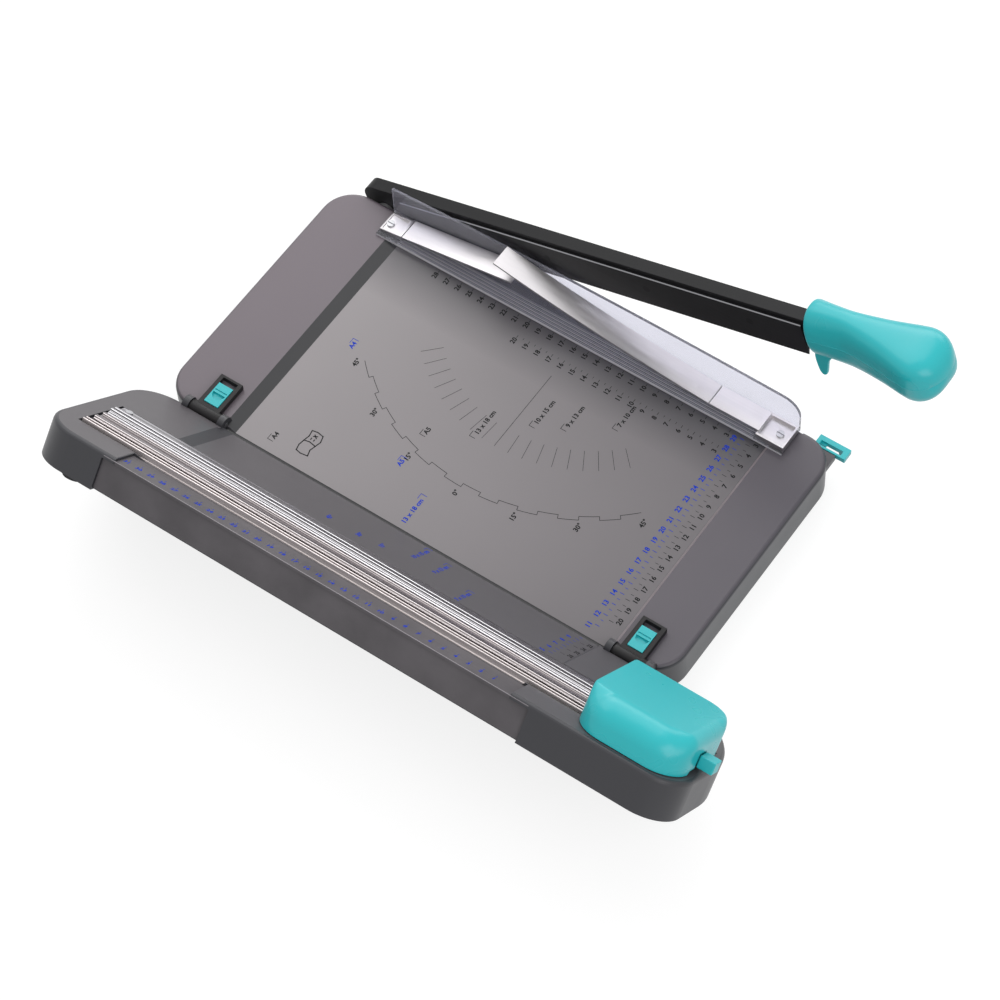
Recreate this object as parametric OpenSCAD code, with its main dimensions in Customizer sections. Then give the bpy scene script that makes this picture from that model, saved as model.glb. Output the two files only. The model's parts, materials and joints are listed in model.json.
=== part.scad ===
// Desk paper trimmer: a lever cutter board with a rotary trimmer folding along its front edge.
// +X runs along both cuts, +Y points to the lever's cutting edge, +Z is up.
// The origin is on the desk, under the middle of the board.

/* [Board] */
// Length of the board along the cut
board_l = 428; // [410:1:450]
// Depth of the board from the folding joint to the cutting edge
board_d = 219; // [205:1:235]
// Height of the board's shell without its feet
board_h = 29; // [27:1:33]
// Plan radius of the board's corners
board_corner = 25; // [18:1:28]
// Rounding of the top edges of both housings
edge_r = 3; // [1:0.5:3]
// Wall thickness of both housings
wall = 3; // [2.5:0.5:4]
// Thickness of the roof under the printed field
roof = 4; // [3.5:0.5:5]
// Thickness of the wall that carries the fixed blade
back_wall = 9.5; // [9:0.5:12]
// Depth of the printed field below the side strips
field_drop = 2; // [1.5:0.5:2.5]
// Width of the raised strip on the left
left_strip = 56; // [54:1:60]
// Width of the raised strip on the right
right_strip = 43.5; // [42:0.5:46]
// Length of the slope down to the field on the left
left_slope = 10; // [6:1:12]
// Length of the slope down to the field on the right
right_slope = 2; // [1:0.5:3]
// Thickness of the bottom covers
cover_t = 2; // [1.5:0.5:3]
// Radius of a rubber foot
foot_r = 8; // [6:0.5:9]
// Height of a rubber foot
foot_h = 2; // [2:0.5:4]

/* [Fixed blade] */
// Thickness of the fixed blade
fixed_t = 2; // [1.5:0.5:2.5]
// Height of the fixed blade
fixed_h = 15; // [12:1:18]
// How far the fixed blade stands out of the wall
fixed_proud = 0.3; // [0.2:0.1:0.5]

/* [Arm] */
// Angle of the arm above level
arm_angle = 17.7; // [10:0.1:30]
// Length of the arm from its pivot
arm_l = 420; // [412:1:430]
// Height of the arm's channel above its middle line
arm_half = 16; // [14:1:18]
// How far the channel's sides reach below its middle line
arm_skirt = 10; // [8:1:11]
// How far the arm's end reaches past its pivot
arm_end = 17.5; // [16.5:0.5:18]
// Radius of the corners at the arm's end
arm_end_r = 10; // [8:0.5:12]
// Width of the arm's channel
arm_w = 10.4; // [9:0.2:12]
// Wall thickness of the arm's channel
arm_wall = 2; // [1.5:0.5:2.5]
// Distance of the pivot from the board's left end
pivot_in = 37.5; // [36:0.5:40]
// Depth of the pivot below the printed field
pivot_drop = 7.8; // [7.5:0.1:9]
// Distance of the pivot below the middle line of the arm
pivot_low = 5; // [4:0.5:6]
// Radius of the pivot bolt
pivot_r = 4; // [3:0.5:5]
// Wall of the bush in the arm
bush_wall = 2; // [1.5:0.5:3]
// Thickness of the moving blade
blade_t = 2; // [1.5:0.5:2.5]
// Distance of the moving blade's inner end from the pivot
blade_start = 20; // [18:1:26]
// Gap between the moving blade and the handle
blade_gap = 3.5; // [3:0.5:6]
// Depth of the cutting edge below the arm's middle line
blade_low = 16; // [14:1:18]
// Height of the moving blade's top edge above the arm's middle line
blade_high = 12; // [10:1:13]

/* [Handle] */
// How far the handle reaches over the arm's end
grip_over = 41; // [38:1:44]
// Length of the handle
grip_l = 108; // [104:1:116]
// Half width of the collar
collar_a = 14.5; // [13.5:0.5:15.5]
// Half height of the collar
collar_b = 21.5; // [20:0.5:21.5]
// Half width of the waist
waist_a = 12.2; // [11.6:0.2:13]
// Half height of the waist
waist_b = 22.5; // [21:0.5:22.5]
// Half width of the swollen end
swell_a = 23; // [21:0.5:24]
// Half height of the swollen end
swell_b = 19.5; // [18:0.5:21]
// How far the collar's middle lies behind the arm's middle
grip_back = 4; // [3:0.5:5]
// How far the handle's end swings back towards the board
grip_swing = 5.5; // [4:0.5:6]
// Height of the handle's middle above the arm's middle line
grip_rise = 2.5; // [2:0.5:3]
// Depth of the lock fin's tip below the arm's middle line
fin_tip = 37; // [35:0.5:38]
// Length of the lock fin where it enters the lock
fin_root = 12; // [11:0.5:13]
// Length of the flare between the lock fin and the handle
fin_flare = 8; // [6:0.5:9]
// Thickness of the lock fin
fin_t = 2.4; // [2.2:0.2:3]
// Wall left in front of the lock fin's notch
fin_skin = 0.8; // [0.6:0.1:1]

/* [Arm lock] */
// Length of the lock slide
lock_l = 25; // [24:0.5:28]
// Travel of the lock slide
lock_travel = 4.5; // [4:0.5:4.5]
// Height of the lock slide
lock_h = 4.5; // [4.5:0.5:6]
// Depth of the lock slide outside the wall
lock_out = 9.5; // [8.5:0.5:10]
// Distance of the lock slide's top below the printed field
lock_drop = 6.5; // [6.5:0.5:8]
// Height of the tongue that catches the fin
tongue_h = 2.2; // [2:0.2:2.4]

/* [Guard and clamp] */
// Distance of the guard's left end from the board's left end
guard_left = 48; // [46:1:50]
// Distance of the guard's right end from the board's right end
guard_right = 32; // [31:1:35]
// Depth of the guard's ribbed foot
guard_foot = 24.5; // [23:0.5:26]
// Thickness of the clear guard
guard_t = 2; // [1.5:0.5:2.5]
// Distance of the guard from the cutting edge
guard_back = 1; // [1:0.5:2]
// Height of the guard's left end above its foot
guard_low = 27; // [24:1:30]
// Height of the guard's right end above its foot
guard_high = 31; // [29:1:35]
// Rise of the guard's top edge in the middle
guard_bulge = 3.5; // [0:0.5:5]
// Radius of the guard's top right corner
guard_corner = 14; // [10:1:18]
// Number of ribs on the guard's foot
rib_n = 5; // [3:1:5]
// Height and width of a rib
rib_s = 1.1; // [0.8:0.1:1.4]
// Distance between ribs
rib_step = 2.6; // [2.2:0.1:3]
// Width of the clamp's leaves
leaf_w = 17.5; // [15:0.5:18]
// Thickness of the clamp's leaves
leaf_t = 1.5; // [1.2:0.1:1.8]
// Length of the left anchor
anchor_left = 18; // [17:0.5:22]
// Length of the right anchor
anchor_right = 22.5; // [20:0.5:25]
// Height of the anchors
anchor_h = 5.5; // [5:0.5:6]
// Length of the left leaf
leaf_left = 98; // [94:1:100]
// Slope of the left leaf
leaf_left_up = 10.6; // [10.2:0.2:11]
// Length of the flat root of the right leaf
leaf_root = 41; // [38:1:44]
// Length of the right leaf
leaf_right = 184; // [180:1:188]
// Slope of the right leaf at its root
leaf_up_start = 5; // [4.5:0.5:6]
// Slope of the right leaf at its tip
leaf_up_end = 13; // [12.5:0.5:14]
// How much higher the right leaf's root lies than the left one's
leaf_lift = 1.5; // [1:0.5:2]

/* [Folding joint] */
// Angle of the trimmer above level
fold_angle = 41.2; // [0:0.2:60]
// Height of the hinge axis above the strips
hinge_rise = 1; // [1:0.5:2]
// Distance of the hinge axis behind the board's front face
hinge_in = 0.5; // [0.5:0.1:1]
// Gap between the board and the trimmer when flat
joint_gap = 0.8; // [0.6:0.1:1.2]
// Radius of the hinge pins
pin_r = 2; // [1.5:0.25:2.5]
// Radius of the knuckle on a hinge bracket
knuckle_r = 5; // [4.5:0.5:5]
// Half width of the knuckle on a hinge bracket
knuckle_half = 12.6; // [12:0.2:13]
// Radius of an ear on the trimmer
ear_r = 6; // [5.5:0.5:6]
// Thickness of an ear on the trimmer
ear_t = 5; // [4:0.5:5]
// Distance of the left bracket from the board's left end
bracket_left = 40; // [38:1:42]
// Distance of the right bracket from the board's right end
bracket_right = 29.5; // [29:0.5:32]
// Width of a bracket's frame
frame_w = 19; // [19:0.5:21]
// Height of a bracket's frame
frame_h = 4.8; // [4.4:0.2:5.5]
// Width of a slide latch
latch_w = 12; // [11:0.5:12]
// Length of a slide latch
latch_l = 18; // [16:0.5:20]
// Travel of a slide latch
latch_travel = 5; // [4:0.5:6]
// Width of the flange that holds a latch down
latch_flange = 2; // [1.5:0.5:2]

/* [Trimmer] */
// Length of the trimmer
trim_l = 515; // [503:1:533]
// Depth of the trimmer
trim_d = 137.7; // [134:0.1:142]
// How far the trimmer reaches past the board on the left
trim_over = 9; // [6:1:12]
// Plan radius of the trimmer's left corners
trim_left_r = 28; // [22:1:32]
// Plan radius of the trimmer's front right corner
trim_front_r = 26; // [20:1:32]
// Plan radius of the trimmer's rear right corner
trim_rear_r = 80; // [72:1:82]
// Length of the raised block at the right end
right_block = 129; // [124:1:132]
// Distance of the rail's bed from the trimmer's rear face
bed_in = 57.7; // [56:0.1:60]
// Width of the rail's bed
bed_w = 55; // [54:1:57]
// Wall left at the ends of the rail's bed
bed_end = 16; // [14:1:18]
// Length of the ruler strip's front wall
strip_l = 347; // [340:1:352]
// Distance of the ruler strip's front wall from the trimmer's left end
strip_in = 56; // [53:1:59]
// Set back of the strip's top plate at its left end
plate_left = 10; // [8:1:12]
// Set back of the strip's top plate at its right end
plate_right = 15; // [12:1:16]
// Depth of the ruler strip
strip_d = 23.4; // [22:0.1:24]
// Thickness of the ruler strip
strip_t = 2; // [1.5:0.5:2.5]
// Set back of the ruler strip's front wall
strip_back = 1.5; // [1:0.5:2]
// Depth of the wall behind the ruler strip
front_wall = 8; // [7.5:0.5:10]

/* [Rail] */
// Gap for paper under the rail
paper_gap = 0.6; // [0.5:0.1:0.8]
// Width of the guide rail
rail_w = 22; // [20:0.5:23]
// Thickness of the guide rail's base
rail_t = 1.6; // [1.4:0.1:2]
// Height of the guide rail's two ridges
ridge_h = 2.8; // [2.4:0.2:3.2]
// Width of a ridge
ridge_w = 2.6; // [2.2:0.2:2.8]
// Height of the step in front of the first ridge
step_h = 1.1; // [0.8:0.1:1.4]
// Length of a seat under the guide rail's end
seat_l = 15; // [13:1:18]
// Width of the clear strip beside the guide rail
clear_w = 16.8; // [16:0.2:17.4]
// Thickness of the clear strip
clear_t = 1; // [0.8:0.1:1.2]
// Height of the two ribs on the clear strip above its base
clear_rib = 1.6; // [1.2:0.1:1.8]
// Width of the cutting mat
mat_w = 17.5; // [17:0.5:18]
// Height of the two ribs on the cutting mat
mat_rib = 4.2; // [3.6:0.2:4.4]
// Thickness of the cutting mat
mat_t = 1.8; // [1.6:0.1:2.2]
// Width of the cutting groove in the mat
groove_w = 1.6; // [1.4:0.1:2]
// Depth of the cutting groove in the mat
groove_d = 1.1; // [1:0.1:1.2]

/* [Cutter head] */
// Length of the cutter head
head_l = 80; // [76:1:86]
// Distance of the head's right end from the trimmer's right end
head_end = 6; // [4:0.5:8]
// Depth of the cutter head
head_d = 81; // [78:0.5:82]
// Height of the cutter head
head_h = 26.4; // [25:0.2:29]
// Wall of the head's shell
head_wall = 2.4; // [2:0.2:2.8]
// Distance of the head's rear face in front of the trimmer's rear face
head_in = 52.2; // [50:0.1:53]
// Rounding of the head's top front edge
head_round = 17; // [12:0.5:20]
// Plan radius of the head's rounded corners
head_corner = 23; // [18:0.5:26]
// Radius of the cutting wheel
wheel_r = 12.5; // [11:0.5:13]
// Thickness of the cutting wheel
wheel_t = 0.6; // [0.4:0.1:0.7]
// Depth of the cutting wheel in the groove
wheel_dip = 0.5; // [0.3:0.1:0.6]
// Radius of the wheel's axle
axle_r = 2; // [1.5:0.25:2.5]
// Thickness of the cartridge's cheeks
cheek_t = 2; // [1.5:0.5:2]
// Length of the cartridge
cart_l = 42; // [38:1:46]
// Width of the pull tab
tab_w = 10; // [9:0.5:11]
// Height of the pull tab
tab_h = 9; // [8:0.5:10]
// Length of the pull tab outside the head
tab_l = 12; // [8:0.5:13]

/* [Fasteners and clearances] */
// Radius of a screw's shank
screw_r = 1.5; // [1.25:0.25:1.75]
// Radius of a screw's head
screw_head = 2.9; // [2.6:0.1:3.2]
// Height of a screw's head
screw_head_h = 1.4; // [1:0.1:1.6]
// Length of a cover screw's shank
cover_screw_l = 11; // [9:0.5:12]
// Length of the shank of a blade's or clamp's screw
short_screw_l = 7; // [6:0.5:7]
// Radius of a screw boss
boss_r = 4.5; // [4:0.5:6]
// Gap between pieces that move past each other
run_gap = 0.35; // [0.3:0.05:0.4]
// Gap around a turning pin
pin_gap = 0.05; // [0.03:0.01:0.08]
// Gap around pieces that are fixed together
fit_gap = 0.15; // [0.1:0.05:0.2]

/* [Hidden] */
$fn = 64;
edge_steps = 4;
cut = 1;

// Nearest binary fraction, so that touching pieces share their faces exactly
function snap(v) = round(v * pow(2, 30)) / pow(2, 30);

// Span of a given half width around a middle
function around(m, half) = [m - half, m + half];

// Levels
z_low = foot_h;
z_top = foot_h + board_h;
z_field = z_top - field_drop;
z_ceiling = z_field - roof;

// Board outline
bx = [-board_l / 2, board_l / 2];
by = [-board_d / 2, board_d / 2];
field_x = [bx[0] + left_strip, bx[1] - right_strip];
cavity_x = [bx[0] + wall, bx[1] - wall];
cavity_y = [by[0] + wall, by[1] - back_wall];
cavity_corner = board_corner - wall;
boss_end = 45;
boss_edge = 30;
board_bosses = [for (x = [-1, 0, 1], y = [-1, 1])
    [x * (board_l / 2 - boss_end), y * (board_d / 2 - boss_edge)]];
pad_end = 25;
pad_edge = 22;
corner_pads = [for (x = [-1, 1], y = [-1, 1]) [x * (board_l / 2 - pad_end), y * (board_d / 2 - pad_edge)]];
board_pads = concat([[0, 0]], corner_pads);

// Cutting edge and arm
shear_y = by[1] + fixed_proud;
blade_y = [shear_y + run_gap, shear_y + run_gap + blade_t];
arm_y = [blade_y[1], blade_y[1] + arm_w];
arm_mid = (arm_y[0] + arm_y[1]) / 2;
pivot = [bx[0] + pivot_in, z_field - pivot_drop];
bush_r = pivot_r + pin_gap + bush_wall;
fixed_z = z_field - fixed_h;
grip_start = arm_l - grip_over;
fin_start = grip_start - 2;
blade_end = fin_start - blade_gap + 2;
blade_screw_in = 45;
blade_screw_r = [for (i = [0:3])
    blade_start + blade_screw_in + i * (blade_end - blade_start - 2 * blade_screw_in) / 3];
bolt_head_t = 4;
bolt_head_r = pivot_r + 3;
plate_t = 3;
nut_t = 5;
nut_r = pivot_r * 1.75;
plate_half = 13;
pivot_room = [z_low + cover_t + 1, pivot[1] + nut_r - 0.2];

// Lock, laid out around the fin of the closed arm
closed_angle = 2.5;
lock_z = [z_field - lock_drop - lock_h, z_field - lock_drop];
fin_y = shear_y + 3.7;
fin_depth = 20;
fin_x = pivot[0] + fin_start * cos(closed_angle) + (fin_depth - pivot_low) * sin(closed_angle);
slot_x = [fin_x - 0.5 - lock_travel, fin_x + fin_root + 0.5];
slot_y = around(fin_y, fin_t / 2 + 2 * run_gap);
notch_y = [fin_y - fin_t / 2 + fin_skin, slot_y[1]];
lock_x = [slot_x[0] - 3.2, slot_x[0] - 3.2 + lock_l];
lock_neck = lock_x[0] + 1.5;
fixed_x = [field_x[0] + 3, min(field_x[1] + 14, lock_neck - wall)];
fixed_screw_in = 20;
fixed_screw_x = [for (i = [0:4])
    fixed_x[0] + fixed_screw_in + i * (fixed_x[1] - fixed_x[0] - 2 * fixed_screw_in) / 4];
neck_l = 7;
neck_catch = 0.4;
lock_block = [
    min(bx[1] - 28, lock_x[0] - 5),
    max(bx[1] - 3.5, lock_neck + neck_l + lock_travel + wall)
];
block_d = 19.5;
neck_z = around(lock_z[0] + 1.9, 1);
flange_y = by[1] - 5.5;
flange_t = 2;

// Handle
grip_screw_r = [arm_l + 10, grip_start + grip_l * 0.8];
grip_floor = 8;
grip_screw_l = grip_floor + 7;
seam = 0.02;

// Guard and clamp
guard_x = [bx[0] + guard_left, bx[1] - guard_right];
guard_y = [by[1] - guard_back - guard_foot, by[1] - guard_back];
foot_z = [z_top, z_top + guard_t];
anchor_z = [foot_z[1], foot_z[1] + anchor_h];
leaf_y = [guard_y[1] - guard_t - 1 - leaf_w, guard_y[1] - guard_t - 1];
anchor_y = [guard_y[0] + rib_step * 0.5, guard_y[1] - guard_t - fit_gap];
anchor_left_x = [guard_x[0], guard_x[0] + anchor_left];
anchor_right_x = [guard_x[1] - anchor_right, guard_x[1]];
leaf_left_axis = [anchor_left_x[1] + 3, anchor_z[1] - leaf_t / 2];
leaf_right_axis = [anchor_right_x[0] - leaf_root, anchor_z[1] + leaf_lift - leaf_t / 2];
leaf_bend_r = leaf_right / (leaf_up_end - leaf_up_start) * 180 / PI;
clamp_screw_y = (anchor_y[0] + anchor_y[1]) / 2;
clamp_screw_x = [anchor_left_x[0] + 5, anchor_right_x[1] - 8.5];
tray_drop = 3;
clamp_seat = [anchor_z[0] + 1.1, anchor_z[1] - tray_drop];
tray_wall = 1.5;
leaf_root_r = leaf_t / 2 - 0.05;

// Folding joint
hinge = [by[0] + hinge_in, z_top + hinge_rise];
bracket_x = [bx[0] + bracket_left, bx[1] - bracket_right];
ear_at = knuckle_half + run_gap + ear_t / 2;
notch_half = ear_at + ear_t / 2 + run_gap;
frame_z = [z_top, z_top + frame_h];
frame_y0 = hinge[0] + knuckle_r;
latch_y0 = frame_y0 + 1.2;
latch_way = [latch_y0 - run_gap, latch_y0 + latch_l + latch_travel + run_gap];
frame_y1 = latch_way[1] + 1.8;
flange_h = 1.3;

// Trimmer, drawn flat
tx = [bx[0] - trim_over, bx[0] - trim_over + trim_l];
ty = [by[0] - joint_gap - trim_d, by[0] - joint_gap];
table_x = [field_x[0], tx[1] - right_block];
bed_y = [ty[1] - bed_in - bed_w, ty[1] - bed_in];
bed_x = [tx[0] + bed_end, tx[1] - 9];
trim_cavity_x = [tx[0] + wall, tx[1] - wall];
trim_cavity_y = [ty[0] + front_wall, ty[1] - wall];
strip_x = [tx[0] + strip_in, tx[0] + strip_in + strip_l];
strip_y = [ty[0] + 0.5, ty[0] + 0.5 + strip_d];
strip_wall = [strip_y[0] + strip_back, strip_y[0] + strip_back + strip_t];
plate_x = strip_x + [plate_left, -plate_right];
rear_corner = min(trim_rear_r, tx[1] - bracket_x[1] - notch_half - wall);
boss_left = 34;
boss_right = 40;
boss_front = 24;
boss_rear = 30;
boss_x = [tx[0] + boss_left, tx[1] - boss_right];
boss_y = [ty[0] + boss_front, ty[1] - boss_rear];
trim_bosses = [for (i = [0:3], y = boss_y) [boss_x[0] + i * (boss_x[1] - boss_x[0]) / 3, y]];
pad_left = 36;
pad_right = 70;
pad_front = 40;
pad_rear = 18;
trim_pads = [
    [tx[0] + pad_left, ty[0] + foot_r + 0.6], [tx[0] + pad_left, ty[1] - pad_rear],
    [tx[1] - pad_right, ty[0] + pad_front], [tx[1] - pad_right, ty[1] - pad_rear]
];

// Rail, from the rear of its bed to the front
rail_x = [bed_x[0] + 2, bed_x[1] - 2];
rail_z = z_field + paper_gap;
rail_y = [bed_y[1] - 0.5 - rail_w, bed_y[1] - 0.5];
ridge_y = [rail_y[0] + 7.8, rail_y[0] + 3];
step_y = rail_y[0] + 1.2;
clear_y = [rail_y[0] - clear_w, rail_y[0]];
cut_y = clear_y[0] - 1;
mat_y = [cut_y - mat_w + 4, cut_y + 4];
rail_screw_x = [rail_x[0] + seat_l / 2, rail_x[1] - seat_l / 2];
rail_screw_y = rail_y[1] - 5.5;
mat_rib_y = [mat_y[0] + 0.8, mat_y[0] + 4.6];
mat_rib_w = 1.2;
clear_rib_y = [clear_y[0] + 0.8, clear_y[0] + 11];
clear_rib_w = 3.7;

// Cutter head
head_x = [tx[1] - head_end - head_l, tx[1] - head_end];
head_y = [ty[1] - head_in - head_d, ty[1] - head_in];
head_z = [z_top + 2 * run_gap, z_top + 2 * run_gap + head_h];
wheel_x = (head_x[0] + head_x[1]) / 2;
wheel_z = z_field - wheel_dip + wheel_r;
cheek_y = [cut_y - 5, cut_y + 5 - cheek_t];
cart_x = [wheel_x - cart_l / 2, wheel_x + cart_l / 2];
tab_x = [head_x[1] + run_gap, head_x[1] + tab_l];
tab_z = wheel_z - 1;
carriage_x = [head_x[0] + 12, head_x[1] - 24];
carriage_y = [rail_y[0] - 1.6, rail_y[1] + 1.2];
way_z = rail_z + rail_t + ridge_h + run_gap;
carriage_top = way_z + 7.5;
post_x = [carriage_x[0] + 8, carriage_x[1] - 8];
post_y = (carriage_y[0] + carriage_y[1]) / 2;

// Half of a plan profile with a rounded top edge
module edge_profile(w, z, r) {
    arc = [for (i = [0:edge_steps])
        let (a = 90 * i / edge_steps)
        [w - r + r * cos(a), z[1] - r + r * sin(a)]];
    polygon(concat([[0, z[0]], [w, z[0]]], r > 0 ? arc : [[w, z[1]]], [[0, z[1]]]));
}

// Block with a rounded top edge and round plan corners: one radius for both corners at its left end,
// one for the front right and a larger or equal one for the rear right
module soft_block(span_x, span_y, z, corner_left, corner_front, corner_rear, r) {
    x = [snap(span_x[0]), snap(span_x[1])];
    y = [snap(span_y[0]), snap(span_y[1])];
    left_r = snap(corner_left);
    front_r = snap(corner_front);
    rear_r = snap(corner_rear);
    span = x[1] - rear_r - x[0] - left_r;
    translate([x[0] + left_r, (y[0] + y[1]) / 2, 0])
        rotate([90, 0, 90])
            linear_extrude(span) {
                edge_profile((y[1] - y[0]) / 2, z, r);
                mirror([1, 0]) edge_profile((y[1] - y[0]) / 2, z, r);
            }
    translate([x[0] + left_r, y[1] - left_r, 0])
        rotate([90, 0, 0])
            linear_extrude(y[1] - y[0] - 2 * left_r)
                mirror([1, 0]) edge_profile(left_r, z, r);
    if (rear_r > front_r) {
        translate([x[1] - rear_r, y[1] - rear_r, 0])
            rotate([90, 0, 90])
                linear_extrude(rear_r - front_r)
                    mirror([1, 0]) edge_profile(y[1] - rear_r - y[0], z, r);
    }
    translate([x[1] - front_r, y[1] - rear_r, 0])
        rotate([90, 0, 0])
            linear_extrude(y[1] - rear_r - y[0] - front_r) edge_profile(front_r, z, r);
    translate([x[0] + left_r, y[0] + left_r, 0])
        rotate([0, 0, 180]) rotate_extrude(angle = 90) edge_profile(left_r, z, r);
    translate([x[0] + left_r, y[1] - left_r, 0])
        rotate([0, 0, 90]) rotate_extrude(angle = 90) edge_profile(left_r, z, r);
    translate([x[1] - front_r, y[0] + front_r, 0])
        rotate([0, 0, 270]) rotate_extrude(angle = 90) edge_profile(front_r, z, r);
    translate([x[1] - rear_r, y[1] - rear_r, 0])
        rotate_extrude(angle = 90) edge_profile(rear_r, z, r);
}

// Box between two corners
module box(x, y, z) {
    translate([x[0], y[0], z[0]]) cube([x[1] - x[0], y[1] - y[0], z[1] - z[0]]);
}

// Cylinders along X and Y
module rod_x(x, y, z, r) {
    translate([x[0], y, z]) rotate([0, 90, 0]) cylinder(r = r, h = x[1] - x[0]);
}

module rod_y(x, y, z, r) {
    translate([x, y[1], z]) rotate([90, 0, 0]) cylinder(r = r, h = y[1] - y[0]);
}

// Lowered field across a housing, with a slope at each end
module field_cut(x, y, slopes) {
    translate([0, y[1], 0])
        rotate([90, 0, 0])
            linear_extrude(y[1] - y[0])
                polygon([
                    [x[0] + slopes[0], z_field], [x[1] - slopes[1], z_field], [x[1], z_top],
                    [x[1], z_top + cut], [x[0], z_top + cut], [x[0], z_top]
                ]);
}

// Screw pushed up from below, its head resting in a counterbore at height z
module screw_up(p, z, length) {
    translate([p[0], p[1], z]) cylinder(r = screw_head, h = screw_head_h);
    translate([p[0], p[1], z + screw_head_h]) cylinder(r = screw_r, h = length);
}

// Bore for a screw that is pushed up from below
module screw_bore(p, z, length) {
    translate([p[0], p[1], z]) cylinder(r = screw_r + fit_gap, h = length);
}

// Counterbore for the head of a screw that is pushed up from below
module head_bore(p, z) {
    translate([p[0], p[1], z - cut]) cylinder(r = screw_head + fit_gap, h = screw_head_h + cut);
}

// Moves a piece that was drawn flat to its folded place
module folded() {
    translate([0, hinge[0], hinge[1]])
        rotate([-fold_angle, 0, 0])
            translate([0, -hinge[0], -hinge[1]]) children();
}

// Moves a piece that was drawn along a level arm to its raised place
module on_arm() {
    translate([pivot[0], 0, pivot[1]])
        rotate([0, -arm_angle, 0])
            translate([0, 0, pivot_low]) children();
}

// Takes a piece placed around the closed arm back to the level arm's own place
module from_closed() {
    translate([0, 0, -pivot_low])
        rotate([0, closed_angle, 0])
            translate([-pivot[0], 0, -pivot[1]]) children();
}

module board_shell() {
    color([0.50, 0.48, 0.50])
    difference() {
        union() {
            difference() {
                soft_block(bx, by, [z_low, z_top], board_corner, board_corner, board_corner, edge_r);
                soft_block(cavity_x, cavity_y, [z_low - cut, z_ceiling], cavity_corner, cavity_corner,
                    cavity_corner, 0);
            }
            box(lock_block, [by[1] - block_d, by[1]], [lock_z[0] - 1, lock_z[1] - 0.5]);
            for (p = board_bosses) {
                translate([p[0], p[1], z_low + cover_t])
                    cylinder(r = boss_r, h = z_field - 1 - z_low - cover_t);
            }
        }
        field_cut(field_x, [by[0] - cut, by[1] + cut], [left_slope, right_slope]);
        for (p = board_bosses) screw_bore(p, z_low, cover_screw_l + 3);
        for (x = bracket_x) {
            rod_x(around(x, notch_half), hinge[0], hinge[1], ear_r + run_gap);
        }
        box(fixed_x - [fit_gap, -fit_gap], [shear_y - fixed_t - fit_gap, by[1] + cut],
            [fixed_z - fit_gap, z_top + cut]);
        for (x = fixed_screw_x) {
            rod_y(x, [by[1] - short_screw_l - 1, by[1]], fixed_z + fixed_h / 2, screw_r + fit_gap);
        }
        rod_y(pivot[0], [cavity_y[1] - cut, by[1] + cut], pivot[1], pivot_r + fit_gap);
        box(around(pivot[0], plate_half + fit_gap), [cavity_y[1] - plate_t - nut_t - 3, cavity_y[1]],
            pivot_room);
        for (x = clamp_screw_x) {
            screw_bore([x, clamp_screw_y], z_top - short_screw_l - 1, short_screw_l + 1 + cut);
        }
        lock_way();
    }
}

// Space in the board for the lock slide's neck and its inner flange
module lock_way() {
    box([lock_neck - run_gap, lock_neck + neck_l + lock_travel + run_gap],
        [flange_y - cut, by[1] + cut], neck_z + [-run_gap, run_gap]);
    box([lock_neck - 3 - run_gap, lock_neck + neck_l + lock_travel + run_gap],
        [by[1] - block_d - cut, flange_y], neck_z + [-neck_catch - run_gap, neck_catch + run_gap]);
}

module bottom_cover() {
    color([0.24, 0.24, 0.26])
    difference() {
        soft_block(cavity_x + [fit_gap, -fit_gap], cavity_y + [fit_gap, -fit_gap],
            [z_low, z_low + cover_t], cavity_corner - fit_gap, cavity_corner - fit_gap,
            cavity_corner - fit_gap, 0);
        for (p = board_bosses) {
            screw_bore(p, z_low - cut, cover_t + 2 * cut);
            head_bore(p, z_low);
        }
    }
}

module board_feet() {
    color([0.10, 0.10, 0.11])
    for (p = board_pads) translate([p[0], p[1], 0]) cylinder(r = foot_r, h = foot_h);
}

module cover_screws() {
    color([0.55, 0.55, 0.57])
    for (p = board_bosses) screw_up(p, z_low, cover_screw_l);
}

module fixed_blade() {
    color([0.70, 0.71, 0.73])
    difference() {
        box(fixed_x, [shear_y - fixed_t, shear_y], [fixed_z, z_field]);
        for (x = fixed_screw_x) {
            rod_y(x, [by[1] - short_screw_l - 2, shear_y + cut], fixed_z + fixed_h / 2, screw_r + fit_gap);
            translate([x, shear_y + fit_gap, fixed_z + fixed_h / 2])
                rotate([90, 0, 0])
                    cylinder(r1 = screw_head + fit_gap, r2 = screw_r + fit_gap, h = screw_head_h);
        }
    }
}

module fixed_blade_screws() {
    color([0.55, 0.55, 0.57])
    for (x = fixed_screw_x) {
        translate([x, shear_y, fixed_z + fixed_h / 2])
            rotate([90, 0, 0]) {
                cylinder(r1 = screw_head, r2 = screw_r, h = screw_head_h);
                cylinder(r = screw_r, h = short_screw_l);
            }
    }
}

// Outline of the upright sheet, its top edge slightly arched
module guard_outline() {
    steps = 12;
    right_end = guard_x[1] - guard_corner;
    low = foot_z[1];
    arch = [for (i = [0:steps])
        let (s = i / steps)
        [guard_x[0] + s * (right_end - guard_x[0]),
            low + guard_low + s * (guard_high - guard_low) + 4 * guard_bulge * s * (1 - s)]];
    corner = [for (a = [75:-15:0])
        [right_end + guard_corner * cos(a), low + guard_high - guard_corner + guard_corner * sin(a)]];
    polygon(concat([[guard_x[0], foot_z[0]]], arch, corner, [[guard_x[1], foot_z[0]]]));
}

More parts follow.
